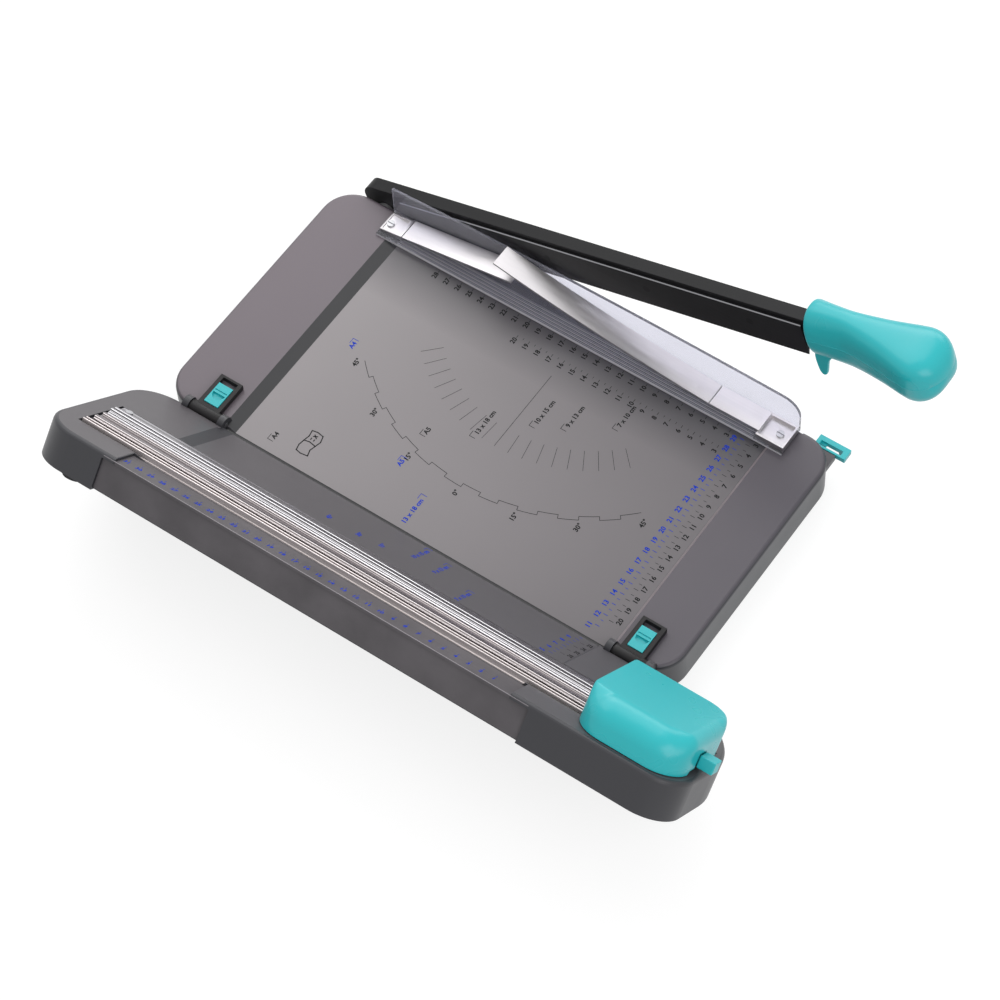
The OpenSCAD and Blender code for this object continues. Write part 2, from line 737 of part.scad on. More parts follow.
module clear_guard() {
    color([0.85, 0.90, 0.95, 0.35])
    difference() {
        union() {
            box(guard_x, guard_y, foot_z);
            translate([0, guard_y[1], 0]) rotate([90, 0, 0]) linear_extrude(guard_t) guard_outline();
            for (i = [0:rib_n - 1]) {
                box([anchor_left_x[1] + 1, anchor_right_x[0] - 1],
                    [guard_y[0] + i * rib_step, guard_y[0] + i * rib_step + rib_s],
                    [foot_z[1] - 0.2, foot_z[1] + rib_s]);
            }
        }
        for (x = clamp_screw_x) screw_bore([x, clamp_screw_y], foot_z[0] - cut, guard_t + 2 * cut);
    }
}

// Sloped end plate in line with the left leaf, with a wedge under it
module clamp_anchor_left() {
    end = [leaf_left_axis[0] - anchor_left_x[0], leaf_t / 2 + run_gap];
    wedge_x = anchor_left_x + [4, 1];
    wedge_z = leaf_left_axis[1] - (leaf_left_axis[0] - wedge_x[1]) * tan(leaf_left_up);
    color([0.84, 0.84, 0.85])
    difference() {
        union() {
            translate([leaf_left_axis[0], 0, leaf_left_axis[1]])
                rotate([0, -leaf_left_up, 0]) box(-end, leaf_y, around(0, leaf_t / 2));
            translate([0, leaf_y[1] - 1, 0])
                rotate([90, 0, 0])
                    linear_extrude(leaf_w - 2)
                        polygon([
                            [wedge_x[0], anchor_z[0]], [wedge_x[1], anchor_z[0]], [wedge_x[1], wedge_z]
                        ]);
        }
        screw_bore([clamp_screw_x[0], clamp_screw_y], anchor_z[0] - cut, anchor_h);
        translate([clamp_screw_x[0], clamp_screw_y, clamp_seat[0]])
            cylinder(r = screw_head + 2 * fit_gap, h = anchor_h);
    }
}

// Tray at the right end of the clamp, sunk around its screw, with the flat root of the leaf
module clamp_anchor_right() {
    top = anchor_z[1] + leaf_lift;
    color([0.84, 0.84, 0.85]) {
        difference() {
            box(anchor_right_x, anchor_y, anchor_z);
            box(anchor_right_x + [tray_wall, -tray_wall], anchor_y + [tray_wall, -tray_wall],
                [clamp_seat[1], anchor_z[1] + cut]);
            screw_bore([clamp_screw_x[1], clamp_screw_y], anchor_z[0] - cut, anchor_h);
        }
        box([anchor_right_x[0] - 1.5, anchor_right_x[0] + 1], leaf_y, [anchor_z[1] - 2, top]);
        box([leaf_right_axis[0] + leaf_t / 2 + run_gap, anchor_right_x[0] + 1], leaf_y,
            [top - leaf_t, top]);
    }
}

module clamp_leaf_left() {
    color([0.84, 0.84, 0.85])
    translate([leaf_left_axis[0], 0, leaf_left_axis[1]])
        rotate([0, -leaf_left_up, 0]) {
            rod_y(0, leaf_y, 0, leaf_root_r);
            box([0, leaf_left], leaf_y, [-leaf_t / 2, leaf_t / 2]);
        }
}

module clamp_leaf_right() {
    color([0.84, 0.84, 0.85])
    translate([leaf_right_axis[0], 0, leaf_right_axis[1]]) {
        rod_y(0, leaf_y, 0, leaf_root_r);
        translate([leaf_bend_r * sin(leaf_up_start), 0, leaf_bend_r * cos(leaf_up_start)])
            rotate([90, 0, 0])
                rotate([0, 0, 270 - leaf_up_end])
                    rotate_extrude(angle = leaf_up_end - leaf_up_start)
                        translate([leaf_bend_r - leaf_t / 2, -leaf_y[1]]) square([leaf_t, leaf_w]);
    }
}

module clamp_screws() {
    color([0.62, 0.62, 0.64])
    for (i = [0, 1]) {
        difference() {
            union() {
                translate([clamp_screw_x[i], clamp_screw_y, clamp_seat[i]])
                    cylinder(r = screw_head, h = screw_head_h);
                translate([clamp_screw_x[i], clamp_screw_y, z_top - short_screw_l])
                    cylinder(r = screw_r, h = clamp_seat[i] - z_top + short_screw_l);
            }
            box(around(clamp_screw_x[i], screw_head), around(clamp_screw_y, 0.4),
                [clamp_seat[i] + screw_head_h - 0.7, anchor_z[1]]);
        }
    }
}

// Open frame with a knuckle, screwed on top of a strip
module hinge_bracket(x) {
    color([0.17, 0.17, 0.18])
    difference() {
        union() {
            box(around(x, frame_w / 2), [hinge[0], frame_y1], frame_z);
            rod_x(around(x, knuckle_half), hinge[0], hinge[1], knuckle_r);
        }
        box(around(x, latch_w / 2 + run_gap), latch_way, frame_z + [-cut, cut]);
        box(around(x, latch_w / 2 + latch_flange + run_gap), latch_way,
            [frame_z[0] - cut, frame_z[0] + flange_h + 2 * run_gap]);
        rod_x(around(x, knuckle_half + cut), hinge[0], hinge[1], pin_r + pin_gap);
    }
}

module hinge_bracket_left() { hinge_bracket(bracket_x[0]); }

module hinge_bracket_right() { hinge_bracket(bracket_x[1]); }

module hinge_pins() {
    color([0.60, 0.60, 0.62])
    for (x = bracket_x) rod_x(around(x, notch_half - run_gap), hinge[0], hinge[1], pin_r);
}

// Thumb slide with a half-round hollow and a ridge across it
module latch_slide(x) {
    thumb_r = latch_w * 0.42;
    mid_y = latch_y0 + latch_l * 0.55;
    low = frame_z[0] + run_gap;
    high = frame_z[1] + 0.6;
    color([0.30, 0.72, 0.74])
    difference() {
        union() {
            box(around(x, latch_w / 2), [latch_y0, latch_y0 + latch_l], [low, high]);
            box(around(x, latch_w / 2 + latch_flange), [latch_y0, latch_y0 + latch_l], [low, low + flange_h]);
        }
        difference() {
            translate([x, mid_y, high - 2]) cylinder(r = thumb_r, h = 4);
            box(around(x, latch_w), [mid_y, mid_y + latch_w], [low, high + 3]);
        }
        box(around(x, thumb_r), [mid_y + 1.6, mid_y + 2.6], [high - 0.8, high + cut]);
    }
}

module latch_slide_left() { latch_slide(bracket_x[0]); }

module latch_slide_right() { latch_slide(bracket_x[1]); }

module lock_slide() {
    out_y = [by[1] + run_gap, by[1] + run_gap + lock_out];
    color([0.30, 0.72, 0.74])
    difference() {
        union() {
            box(lock_x, out_y, lock_z);
            box([lock_neck, lock_neck + neck_l], [flange_y - run_gap - flange_t / 2, out_y[0] + 1], neck_z);
            box([lock_neck - 3, lock_neck + neck_l], [flange_y - run_gap - flange_t, flange_y - run_gap],
                neck_z + [-neck_catch, neck_catch]);
            box([lock_x[1] - 8, lock_x[1] - 4], [slot_y[1] + 0.4, out_y[1] - 1],
                [lock_z[0] - 3, lock_z[0] + 1]);
        }
        box(slot_x, slot_y, [lock_z[0] + tongue_h, lock_z[1] + cut]);
        box(slot_x, [slot_y[0], notch_y[0] + run_gap], [lock_z[0] - cut, lock_z[1]]);
        box([slot_x[0] + lock_travel, slot_x[1]], slot_y, [lock_z[0] - cut, lock_z[1]]);
    }
}

module pivot_plate() {
    color([0.45, 0.45, 0.47])
    difference() {
        box(around(pivot[0], plate_half), [cavity_y[1] - plate_t, cavity_y[1]], pivot_room + [0, -fit_gap]);
        rod_y(pivot[0], [cavity_y[1] - plate_t - cut, cavity_y[1] + cut], pivot[1], pivot_r + fit_gap);
    }
}

module pivot_bolt() {
    color([0.55, 0.55, 0.57]) {
        rod_y(pivot[0], [cavity_y[1] - plate_t - nut_t - 1, arm_y[1] + run_gap], pivot[1], pivot_r);
        rod_y(pivot[0], [arm_y[1] + run_gap, arm_y[1] + run_gap + bolt_head_t], pivot[1], bolt_head_r);
    }
}

module pivot_washer() {
    color([0.65, 0.65, 0.66])
    difference() {
        rod_y(pivot[0], [by[1], arm_y[0] - run_gap], pivot[1], bush_r + 2);
        rod_y(pivot[0], [by[1] - cut, arm_y[0] + cut], pivot[1], pivot_r + fit_gap);
    }
}

module pivot_nut() {
    nut_y = [cavity_y[1] - plate_t - nut_t, cavity_y[1] - plate_t];
    color([0.55, 0.55, 0.57])
    difference() {
        translate([pivot[0], nut_y[1], pivot[1]])
            rotate([90, 0, 0]) cylinder(r = nut_r, h = nut_t, $fn = 6);
        rod_y(pivot[0], nut_y + [-cut, cut], pivot[1], pivot_r + pin_gap);
    }
}

module arm_channel() {
    color([0.16, 0.16, 0.17])
    on_arm()
        difference() {
            union() {
                rod_y(0, arm_y, 0, arm_half);
                for (s = [-1, 1]) rod_y(arm_end_r - arm_end, arm_y, s * (arm_half - arm_end_r), arm_end_r);
                box([-arm_end, 0], arm_y, around(0, arm_half - arm_end_r));
                box([arm_end_r - arm_end, 0], arm_y, around(0, arm_half));
                box([0, arm_l], arm_y, [-arm_skirt, arm_half]);
            }
            box([arm_half + 6, arm_l - arm_wall], arm_y + [arm_wall, -arm_wall],
                [-arm_half - cut, arm_half - arm_wall]);
            rod_y(0, arm_y + [-cut, cut], -pivot_low, bush_r + fit_gap);
            for (x = blade_screw_r) {
                rod_y(x, [arm_y[0] - cut, arm_y[0] + arm_wall + cut], 0, screw_r + fit_gap);
            }
        }
}

module arm_blade() {
    bevel = 4;
    edge_t = 0.3;
    top_bevel = 0.6;
    color([0.20, 0.20, 0.21])
    on_arm()
        difference() {
            box([blade_start, blade_end], blade_y, [-blade_low, blade_high]);
            translate([blade_start - cut, blade_y[1], -blade_low])
                rotate([90, 0, 90])
                    linear_extrude(blade_end - blade_start + 2 * cut)
                        polygon([
                            [cut, -cut], [-blade_t + edge_t, -cut], [-blade_t + edge_t, 0],
                            [0, bevel], [cut, bevel]
                        ]);
            translate([blade_start - cut, blade_y[0], blade_high])
                rotate([90, 0, 90])
                    linear_extrude(blade_end - blade_start + 2 * cut)
                        polygon([[-cut, cut], [-cut, -top_bevel - cut], [top_bevel + cut, cut]]);
            for (x = blade_screw_r) {
                rod_y(x, blade_y + [-cut, cut], 0, screw_r + fit_gap);
                translate([x, blade_y[0] - fit_gap, 0])
                    rotate([-90, 0, 0])
                        cylinder(r1 = screw_head + fit_gap, r2 = screw_r + fit_gap, h = screw_head_h);
            }
        }
}

module arm_blade_screws() {
    color([0.40, 0.40, 0.42])
    on_arm()
        for (x = blade_screw_r) {
            translate([x, blade_y[0], 0])
                rotate([-90, 0, 0]) {
                    cylinder(r1 = screw_head, r2 = screw_r, h = screw_head_h);
                    cylinder(r = screw_r, h = blade_t + arm_wall + 2);
                }
        }
}

module arm_bush() {
    color([0.72, 0.58, 0.32])
    on_arm()
        difference() {
            rod_y(0, arm_y, -pivot_low, bush_r);
            rod_y(0, arm_y + [-cut, cut], -pivot_low, pivot_r + pin_gap);
        }
}

// Rounded section of the handle, square to the arm, at a share of its length
module grip_slice(share, a, b, power) {
    outline = [for (i = [0:31])
        let (c = cos(i * 360 / 32), s = sin(i * 360 / 32))
        [b * sign(c) * pow(abs(c), 2 / power), a * sign(s) * pow(abs(s), 2 / power)]];
    translate([grip_start + share * grip_l, arm_mid + grip_back - share * grip_swing, grip_rise])
        rotate([0, -90, 0]) linear_extrude(0.1) polygon(outline);
}

// Whole handle: a collar on the arm, a waist and a broad rounded end
module grip_body() {
    mid_a = waist_a + (swell_a - waist_a) * 0.65;
    mid_b = (waist_b + swell_b) / 2;
    hull() {
        grip_slice(0.001, collar_a, collar_b, 2.3);
        grip_slice(0.3, waist_a, waist_b, 2.6);
    }
    hull() {
        grip_slice(0.3, waist_a, waist_b, 2.6);
        grip_slice(0.6, mid_a, mid_b, 3);
    }
    hull() {
        grip_slice(0.6, mid_a, mid_b, 3);
        grip_slice(0.8, swell_a, swell_b, 3.2);
        grip_slice(0.88, swell_a * 0.94, swell_b * 0.94, 3.3);
        grip_slice(0.94, swell_a * 0.79, swell_b * 0.79, 3.4);
        grip_slice(0.98, swell_a * 0.58, swell_b * 0.58, 3.4);
        grip_slice(1, swell_a * 0.38, swell_b * 0.38, 3.4);
    }
}

// Socket for the arm's end inside the handle
module grip_socket() {
    box([grip_start - cut, arm_l + fit_gap], arm_y + [-fit_gap, fit_gap],
        [-arm_skirt - fit_gap, arm_half + fit_gap]);
}

module handle_upper() {
    color([0.39, 0.77, 0.79])
    on_arm()
        difference() {
            grip_body();
            grip_socket();
            box([grip_start - cut, grip_start + grip_l + cut], around(arm_mid, 2 * swell_a),
                [-2 * swell_b, grip_rise]);
            for (x = grip_screw_r) screw_bore([x, arm_mid], grip_rise - cut, cut + grip_screw_l - grip_floor);
        }
}

module handle_lower() {
    color([0.30, 0.72, 0.74])
    on_arm()
        difference() {
            union() {
                intersection() {
                    grip_body();
                    box([grip_start, grip_start + grip_l], around(arm_mid, 2 * swell_a),
                        [-2 * swell_b, grip_rise - seam]);
                }
                lock_fin();
            }
            grip_socket();
            for (x = grip_screw_r) {
                screw_bore([x, arm_mid], -2 * swell_b, 3 * swell_b);
                translate([x, arm_mid, -2 * swell_b])
                    cylinder(r = screw_head + fit_gap, h = 2 * swell_b + grip_rise - grip_floor);
            }
        }
}

// Fin under the handle with a notch for the lock's tongue
module lock_fin() {
    top = -arm_skirt - 2;
    neck = -fin_depth + 1.5;
    difference() {
        translate([0, fin_y + fin_t / 2, 0])
            rotate([90, 0, 0])
                linear_extrude(fin_t)
                    polygon([
                        [fin_start + 2, top], [fin_start, neck], [fin_start + 0.6, -fin_tip + 5],
                        [fin_start + 1.6, -fin_tip + 1.6], [fin_start + 3.4, -fin_tip],
                        [fin_start + 5.4, -fin_tip + 0.8], [fin_start + 7, -fin_tip + 3],
                        [fin_start + fin_root * 0.86, neck - 4], [fin_start + fin_root, neck],
                        [fin_start + fin_root + fin_flare, top]
                    ]);
        from_closed()
            box([slot_x[0], slot_x[0] + 2 * lock_travel + run_gap], notch_y,
                [lock_z[0] - 2 * run_gap, lock_z[0] + tongue_h + 2 * run_gap]);
    }
}

module handle_screws() {
    color([0.45, 0.45, 0.47])
    on_arm()
        for (x = grip_screw_r) {
            screw_up([x, arm_mid], grip_rise - grip_floor - screw_head_h, grip_screw_l);
        }
}

// Ear on the trimmer's rear edge, turning on a hinge pin
module ear(x) {
    reach = 9;
    rod_x(around(x, ear_t / 2), hinge[0], hinge[1], ear_r);
    box(around(x, ear_t / 2), [hinge[0] - reach, hinge[0]], [hinge[1] - ear_r, z_top]);
}

module trimmer_housing() {
    color([0.44, 0.42, 0.44])
    folded()
        difference() {
            union() {
                difference() {
                    soft_block(tx, ty, [z_low, z_top], trim_left_r, trim_front_r, rear_corner, edge_r);
                    soft_block(trim_cavity_x, trim_cavity_y, [z_low - cut, z_ceiling],
                        trim_left_r - wall, trim_front_r - wall, rear_corner - wall, 0);
                    field_cut(table_x, ty + [-cut, cut], [left_slope, right_slope]);
                    box(bed_x, bed_y, [z_field, z_top + cut]);
                    strip_way();
                }
                for (p = trim_bosses) {
                    translate([p[0], p[1], z_low + cover_t])
                        cylinder(r = boss_r, h = z_ceiling + 1 - z_low - cover_t);
                }
                for (x = [rail_x[0], rail_x[1] - seat_l]) {
                    box([x, x + seat_l], rail_y, [z_field - 0.2, rail_z]);
                }
                for (x = bracket_x, s = [-1, 1]) ear(x + s * ear_at);
            }
            for (p = trim_bosses) screw_bore(p, z_low, cover_screw_l + 3);
            for (x = bracket_x) {
                rod_x(around(x, knuckle_half + run_gap), hinge[0], hinge[1], knuckle_r + run_gap);
                rod_x(around(x, notch_half + cut), hinge[0], hinge[1], pin_r + pin_gap);
            }
            box(rail_x - [fit_gap, -fit_gap], mat_y + [-fit_gap, fit_gap], [z_field - mat_t, z_top + cut]);
            for (x = rail_screw_x) screw_bore([x, rail_screw_y], rail_z - 9, 10);
        }
}

// Room for the ruler strip at the trimmer's front
module strip_way() {
    room = [-fit_gap, fit_gap];
    box(plate_x + room, [ty[0] - cut, strip_y[1] + fit_gap], [z_field - strip_t, z_top + cut]);
    box(strip_x + room, [ty[0] - cut, strip_wall[1] + fit_gap], [z_low - cut, z_field - strip_t]);
}

module trimmer_cover() {
    color([0.24, 0.24, 0.26])
    folded()
        difference() {
            soft_block(trim_cavity_x + [fit_gap, -fit_gap], trim_cavity_y + [fit_gap, -fit_gap],
                [z_low, z_low + cover_t], trim_left_r - wall - fit_gap, trim_front_r - wall - fit_gap,
                rear_corner - wall - fit_gap, 0);
            for (p = trim_bosses) {
                screw_bore(p, z_low - cut, cover_t + 2 * cut);
                head_bore(p, z_low);
            }
        }
}

module trimmer_feet() {
    color([0.10, 0.10, 0.11])
    folded()
        for (p = trim_pads) translate([p[0], p[1], 0]) cylinder(r = foot_r, h = foot_h);
}

module trimmer_screws() {
    color([0.55, 0.55, 0.57])
    folded()
        for (p = trim_bosses) screw_up(p, z_low, cover_screw_l);
}

module ruler_strip() {
    color([0.36, 0.35, 0.37])
    folded() {
        box(plate_x, strip_y, [z_field - strip_t, z_field]);
        box(strip_x, strip_wall, [z_low + 1.5, z_field - strip_t - fit_gap]);
        box(plate_x, strip_wall, [z_field - strip_t - 1, z_field - strip_t / 2]);
    }
}

module guide_rail() {
    color([0.80, 0.81, 0.83])
    folded()
        difference() {
            union() {
                box(rail_x, rail_y, [rail_z, rail_z + rail_t]);
                for (y = ridge_y) box(rail_x, [y, y + ridge_w], [rail_z, rail_z + rail_t + ridge_h]);
                box(rail_x, [step_y, ridge_y[1] + 1], [rail_z, rail_z + rail_t + step_h]);
            }
            for (x = rail_screw_x) screw_bore([x, rail_screw_y], rail_z - cut, rail_t + 2 * cut);
        }
}

module clear_strip() {
    color([0.88, 0.91, 0.94, 0.5])
    folded() {
        box(rail_x, clear_y, [rail_z, rail_z + clear_t]);
        for (y = clear_rib_y) {
            box(rail_x, [y, y + clear_rib_w], [rail_z + clear_t / 2, rail_z + clear_t + clear_rib]);
        }
    }
}

module cutting_mat() {
    color([0.82, 0.83, 0.84])
    folded()
        difference() {
            union() {
                box(rail_x, mat_y, [z_field - mat_t, z_field]);
                for (y = mat_rib_y) {
                    box(rail_x, [y, y + mat_rib_w], [z_field - mat_t / 2, z_field + mat_rib]);
                }
            }
            box(rail_x + [-cut, cut], around(cut_y, groove_w / 2), [z_field - groove_d, z_field + cut]);
        }
}

module rail_screws() {
    color([0.55, 0.55, 0.57])
    folded()
        for (x = rail_screw_x) {
            translate([x, rail_screw_y, rail_z + rail_t]) cylinder(r = screw_head, h = screw_head_h);
            translate([x, rail_screw_y, rail_z - 8]) cylinder(r = screw_r, h = 8 + rail_t);
        }
}

// Side profile of the cutter head: flat top, large round at the front
module head_side(inset) {
    round_r = head_round - inset;
    top = head_z[1] - inset;
    front = head_y[0] + inset;
    arc = [for (a = [90:10:180]) [front + round_r + round_r * cos(a), top - round_r + round_r * sin(a)]];
    low = inset > 0 ? head_z[0] - cut : head_z[0];
    translate([head_x[0] - cut, 0, 0])
        rotate([90, 0, 90])
            linear_extrude(head_l + 2 * cut)
                polygon(concat([[head_y[1] - inset, top]], arc, [[front, low], [head_y[1] - inset, low]]));
}

// Plan of the cutter head: square at the rear left, round elsewhere
module head_plan(inset) {
    r = head_corner - inset;
    x = head_x + [inset, -inset];
    y = head_y + [inset, -inset];
    front_left = [for (a = [180:10:270]) [x[0] + r + r * cos(a), y[0] + r + r * sin(a)]];
    front_right = [for (a = [270:10:360]) [x[1] - r + r * cos(a), y[0] + r + r * sin(a)]];
    rear_right = [for (a = [0:10:90]) [x[1] - r + r * cos(a), y[1] - r + r * sin(a)]];
    translate([0, 0, head_z[0] - 2 * cut])
        linear_extrude(head_h + 4 * cut) polygon(concat(front_left, front_right, rear_right, [[x[0], y[1]]]));
}

// Room over the rail under the head or the carriage
module rail_way(y) {
    box(head_x + [-cut, cut], y + [-run_gap, run_gap], [head_z[0] - cut, way_z]);
}

module head_shell() {
    roof_z = head_z[1] - head_wall;
    color([0.39, 0.77, 0.79])
    folded()
        difference() {
            union() {
                difference() {
                    intersection() {
                        head_side(0);
                        head_plan(0);
                    }
                    intersection() {
                        head_side(head_wall);
                        head_plan(head_wall);
                    }
                }
                for (x = post_x) {
                    translate([x, post_y, carriage_top]) cylinder(r = boss_r, h = roof_z + 1 - carriage_top);
                }
            }
            rail_way([mat_rib_y[0], rail_screw_y + screw_head]);
            box([head_x[1] - head_wall - 8, head_x[1] + cut], around(cut_y, tab_w / 2 + run_gap),
                [head_z[0] - cut, tab_z + tab_h / 2 + 2 * run_gap]);
            for (x = post_x) screw_bore([x, post_y], carriage_top - cut, 10);
        }
}

module head_carriage() {
    color([0.20, 0.20, 0.22])
    folded()
        difference() {
            union() {
                box(carriage_x, carriage_y, [head_z[0], carriage_top]);
                box(cart_x, [cheek_y[1] + cheek_t + run_gap, carriage_y[0] + 1],
                    [carriage_top - 4, carriage_top]);
            }
            rail_way([step_y, ridge_y[0] + ridge_w]);
            for (x = post_x) {
                screw_bore([x, post_y], way_z - cut, carriage_top - way_z + 2 * cut);
                head_bore([x, post_y], way_z);
            }
        }
}

module head_screws() {
    color([0.55, 0.55, 0.57])
    folded()
        for (x = post_x) screw_up([x, post_y], way_z, carriage_top - way_z + 5);
}

module blade_cartridge() {
    low = z_field + 4;
    high = wheel_z + 5;
    color([0.30, 0.72, 0.74])
    folded()
        difference() {
            union() {
                for (y = cheek_y) box(cart_x, [y, y + cheek_t], [low, high]);
                box([cart_x[1] - 4, cart_x[1]], [cheek_y[0], cheek_y[1] + cheek_t], [low, high]);
                box([cart_x[0], cart_x[0] + 4], [cheek_y[0], cheek_y[1] + cheek_t], [low, high]);
                box([cart_x[1] - 1, tab_x[1]], around(cut_y, tab_w / 4), around(tab_z, tab_h / 4));
                box(tab_x, around(cut_y, tab_w / 2), around(tab_z, tab_h / 2));
            }
            rod_y(wheel_x, [cheek_y[0] - cut, cheek_y[1] + cheek_t + cut], wheel_z, axle_r + pin_gap);
        }
}

module cutting_wheel() {
    hub_half = (cheek_y[1] - cheek_y[0] - cheek_t) / 2 - run_gap;
    color([0.72, 0.73, 0.75])
    folded()
        difference() {
            union() {
                rod_y(wheel_x, around(cut_y, wheel_t / 2), wheel_z, wheel_r);
                rod_y(wheel_x, around(cut_y, hub_half), wheel_z, axle_r + 2);
            }
            rod_y(wheel_x, around(cut_y, hub_half + cut), wheel_z, axle_r + fit_gap);
        }
}

module wheel_axle() {
    color([0.55, 0.55, 0.57])
    folded()
        rod_y(wheel_x, [cheek_y[0] + 0.2, cheek_y[1] + cheek_t - 0.2], wheel_z, axle_r);
}

board_shell();
bottom_cover();
board_feet();
cover_screws();
fixed_blade();
fixed_blade_screws();
clear_guard();
clamp_anchor_left();
clamp_anchor_right();
clamp_leaf_left();
clamp_leaf_right();
clamp_screws();
hinge_bracket_left();
hinge_bracket_right();
hinge_pins();
latch_slide_left();
latch_slide_right();
lock_slide();
pivot_plate();
pivot_bolt();
pivot_washer();
pivot_nut();
arm_channel();
arm_blade();
arm_blade_screws();
arm_bush();
handle_upper();
handle_lower();
handle_screws();
trimmer_housing();
trimmer_cover();
trimmer_feet();
trimmer_screws();
ruler_strip();
guide_rail();
clear_strip();
cutting_mat();
rail_screws();
head_shell();
head_carriage();
head_screws();
blade_cartridge();
cutting_wheel();
wheel_axle();
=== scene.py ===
import json
import math

import bmesh
import bpy
from mathutils import Matrix, Vector


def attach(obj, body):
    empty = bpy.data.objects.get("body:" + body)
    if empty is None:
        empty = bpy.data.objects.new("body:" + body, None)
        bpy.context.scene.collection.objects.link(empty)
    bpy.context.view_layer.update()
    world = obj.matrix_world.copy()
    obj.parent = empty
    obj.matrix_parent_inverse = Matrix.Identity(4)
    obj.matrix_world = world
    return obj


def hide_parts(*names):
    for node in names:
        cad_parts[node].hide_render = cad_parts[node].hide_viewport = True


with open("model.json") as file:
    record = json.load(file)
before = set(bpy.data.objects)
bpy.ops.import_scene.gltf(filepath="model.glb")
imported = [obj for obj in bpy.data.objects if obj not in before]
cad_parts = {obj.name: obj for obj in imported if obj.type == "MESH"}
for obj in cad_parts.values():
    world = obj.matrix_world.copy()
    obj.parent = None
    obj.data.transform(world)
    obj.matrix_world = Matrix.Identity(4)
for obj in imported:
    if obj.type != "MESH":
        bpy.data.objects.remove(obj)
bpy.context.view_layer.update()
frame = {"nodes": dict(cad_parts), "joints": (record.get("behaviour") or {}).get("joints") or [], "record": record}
MM = 0.001
JOINTS = {joint["name"]: joint for joint in frame["joints"]}


# Places of the part, in millimetres, with the trimmer unfolded

def joint_at(name):
    return Vector(JOINTS[name]["pos_m"]) / MM


def risen(name):
    """Angle of a joint from its lower limit to the rest pose."""
    return -math.radians(JOINTS[name]["range_deg"][0])


def about(point, turn, axis):
    return Matrix.Translation(point) @ Matrix.Rotation(turn, 4, axis) @ Matrix.Translation(-point)


# Level of the printed field, edge of the fixed blade, line of the rotary cut and paper stop
FIELD_Z, EDGE_Y, CUT_Y, STOP_X = 29.0, 109.5, -208.3, 170.5
# Slope of the shut arm in degrees, and how far its pivot lies below its middle line
ARM_SHUT, PIVOT_LOW = 2.5, 5.0

FOLD = risen("fold_hinge")
TO_FOLD = about(joint_at("fold_hinge"), -FOLD, "X")
UP = (0.0, 0.0, 1.0)
UP_FOLDED = (0.0, math.sin(FOLD), math.cos(FOLD))
FRONT_FOLDED = (0.0, -math.cos(FOLD), math.sin(FOLD))

# The arm's own frame runs along the arm and shares the y of the part
PIVOT = joint_at("arm_hinge")
PIVOT.y = 0.0
ARM_RISEN = risen("arm_hinge")
FROM_SHUT = about(PIVOT, -ARM_RISEN, "Y")
ON_ARM = (
    Matrix.Translation(PIVOT)
    @ Matrix.Rotation(-ARM_RISEN - math.radians(ARM_SHUT), 4, "Y")
    @ Matrix.Translation((0, 0, PIVOT_LOW))
)


# Nodes that the materials share

def tree(name):
    mat = bpy.data.materials.new(name)
    mat.use_nodes = True
    nodes = mat.node_tree.nodes
    nodes.clear()
    out = nodes.new("ShaderNodeOutputMaterial")
    bsdf = nodes.new("ShaderNodeBsdfPrincipled")
    mat.node_tree.links.new(bsdf.outputs[0], out.inputs[0])
    return mat, mat.node_tree, bsdf


def coords(nt, scale=(1, 1, 1)):
    tex = nt.nodes.new("ShaderNodeTexCoord")
    mapping = nt.nodes.new("ShaderNodeMapping")
    mapping.inputs["Scale"].default_value = scale
    nt.links.new(tex.outputs["Object"], mapping.inputs[0])
    return mapping.outputs[0]


def axes(nt, vector):
    split = nt.nodes.new("ShaderNodeSeparateXYZ")
    nt.links.new(vector, split.inputs[0])
    return split.outputs


def noise(nt, vector, scale, detail, rough=0.5):
    n = nt.nodes.new("ShaderNodeTexNoise")
    n.inputs["Scale"].default_value = scale
    n.inputs["Detail"].default_value = detail
    n.inputs["Roughness"].default_value = rough
    nt.links.new(vector, n.inputs["Vector"])
    return n.outputs["Fac"]


def remap(nt, value, low, high, from_low=0.3, from_high=0.7):
    m = nt.nodes.new("ShaderNodeMapRange")
    m.inputs["From Min"].default_value = from_low
    m.inputs["From Max"].default_value = from_high
    m.inputs["To Min"].default_value = low
    m.inputs["To Max"].default_value = high
    nt.links.new(value, m.inputs["Value"])
    return m.outputs[0]


def between(nt, value, ends, low=0, high=1):
    """Low to high as a coordinate goes from one place to another, given in millimetres."""
    return remap(nt, value, low, high, ends[0] * MM, ends[1] * MM)


def combine(nt, operation, a, b):
    m = nt.nodes.new("ShaderNodeMath")
    m.operation = operation
    nt.links.new(a, m.inputs[0])
    nt.links.new(b, m.inputs[1])
    return m.outputs[0]


def blend(nt, factor, a, b):
    m = nt.nodes.new("ShaderNodeMix")
    m.data_type = "RGBA"
    for socket, value in ((m.inputs[6], a), (m.inputs[7], b)):
        if isinstance(value, tuple):
            socket.default_value = (*value, 1.0)
        else:
            nt.links.new(value, socket)
    nt.links.new(factor, m.inputs[0])
    return m.outputs[2]


def shade(rgb, k):
    return tuple(min(1.0, c * k) for c in rgb)


def mottle(nt, factor, rgb, low, high):
    """A colour that wavers between two of its shades."""
    return blend(nt, factor, shade(rgb, low), shade(rgb, high))


def facing(nt, axis, low, high):
    """0 to 1 as a face of the piece turns towards a direction of the piece's own."""
    tex = nt.nodes.new("ShaderNodeTexCoord")
    dot = nt.nodes.new("ShaderNodeVectorMath")
    dot.operation = "DOT_PRODUCT"
    dot.inputs[1].default_value = axis
    nt.links.new(tex.outputs["Normal"], dot.inputs[0])
    return remap(nt, dot.outputs["Value"], 0, 1, low, high)


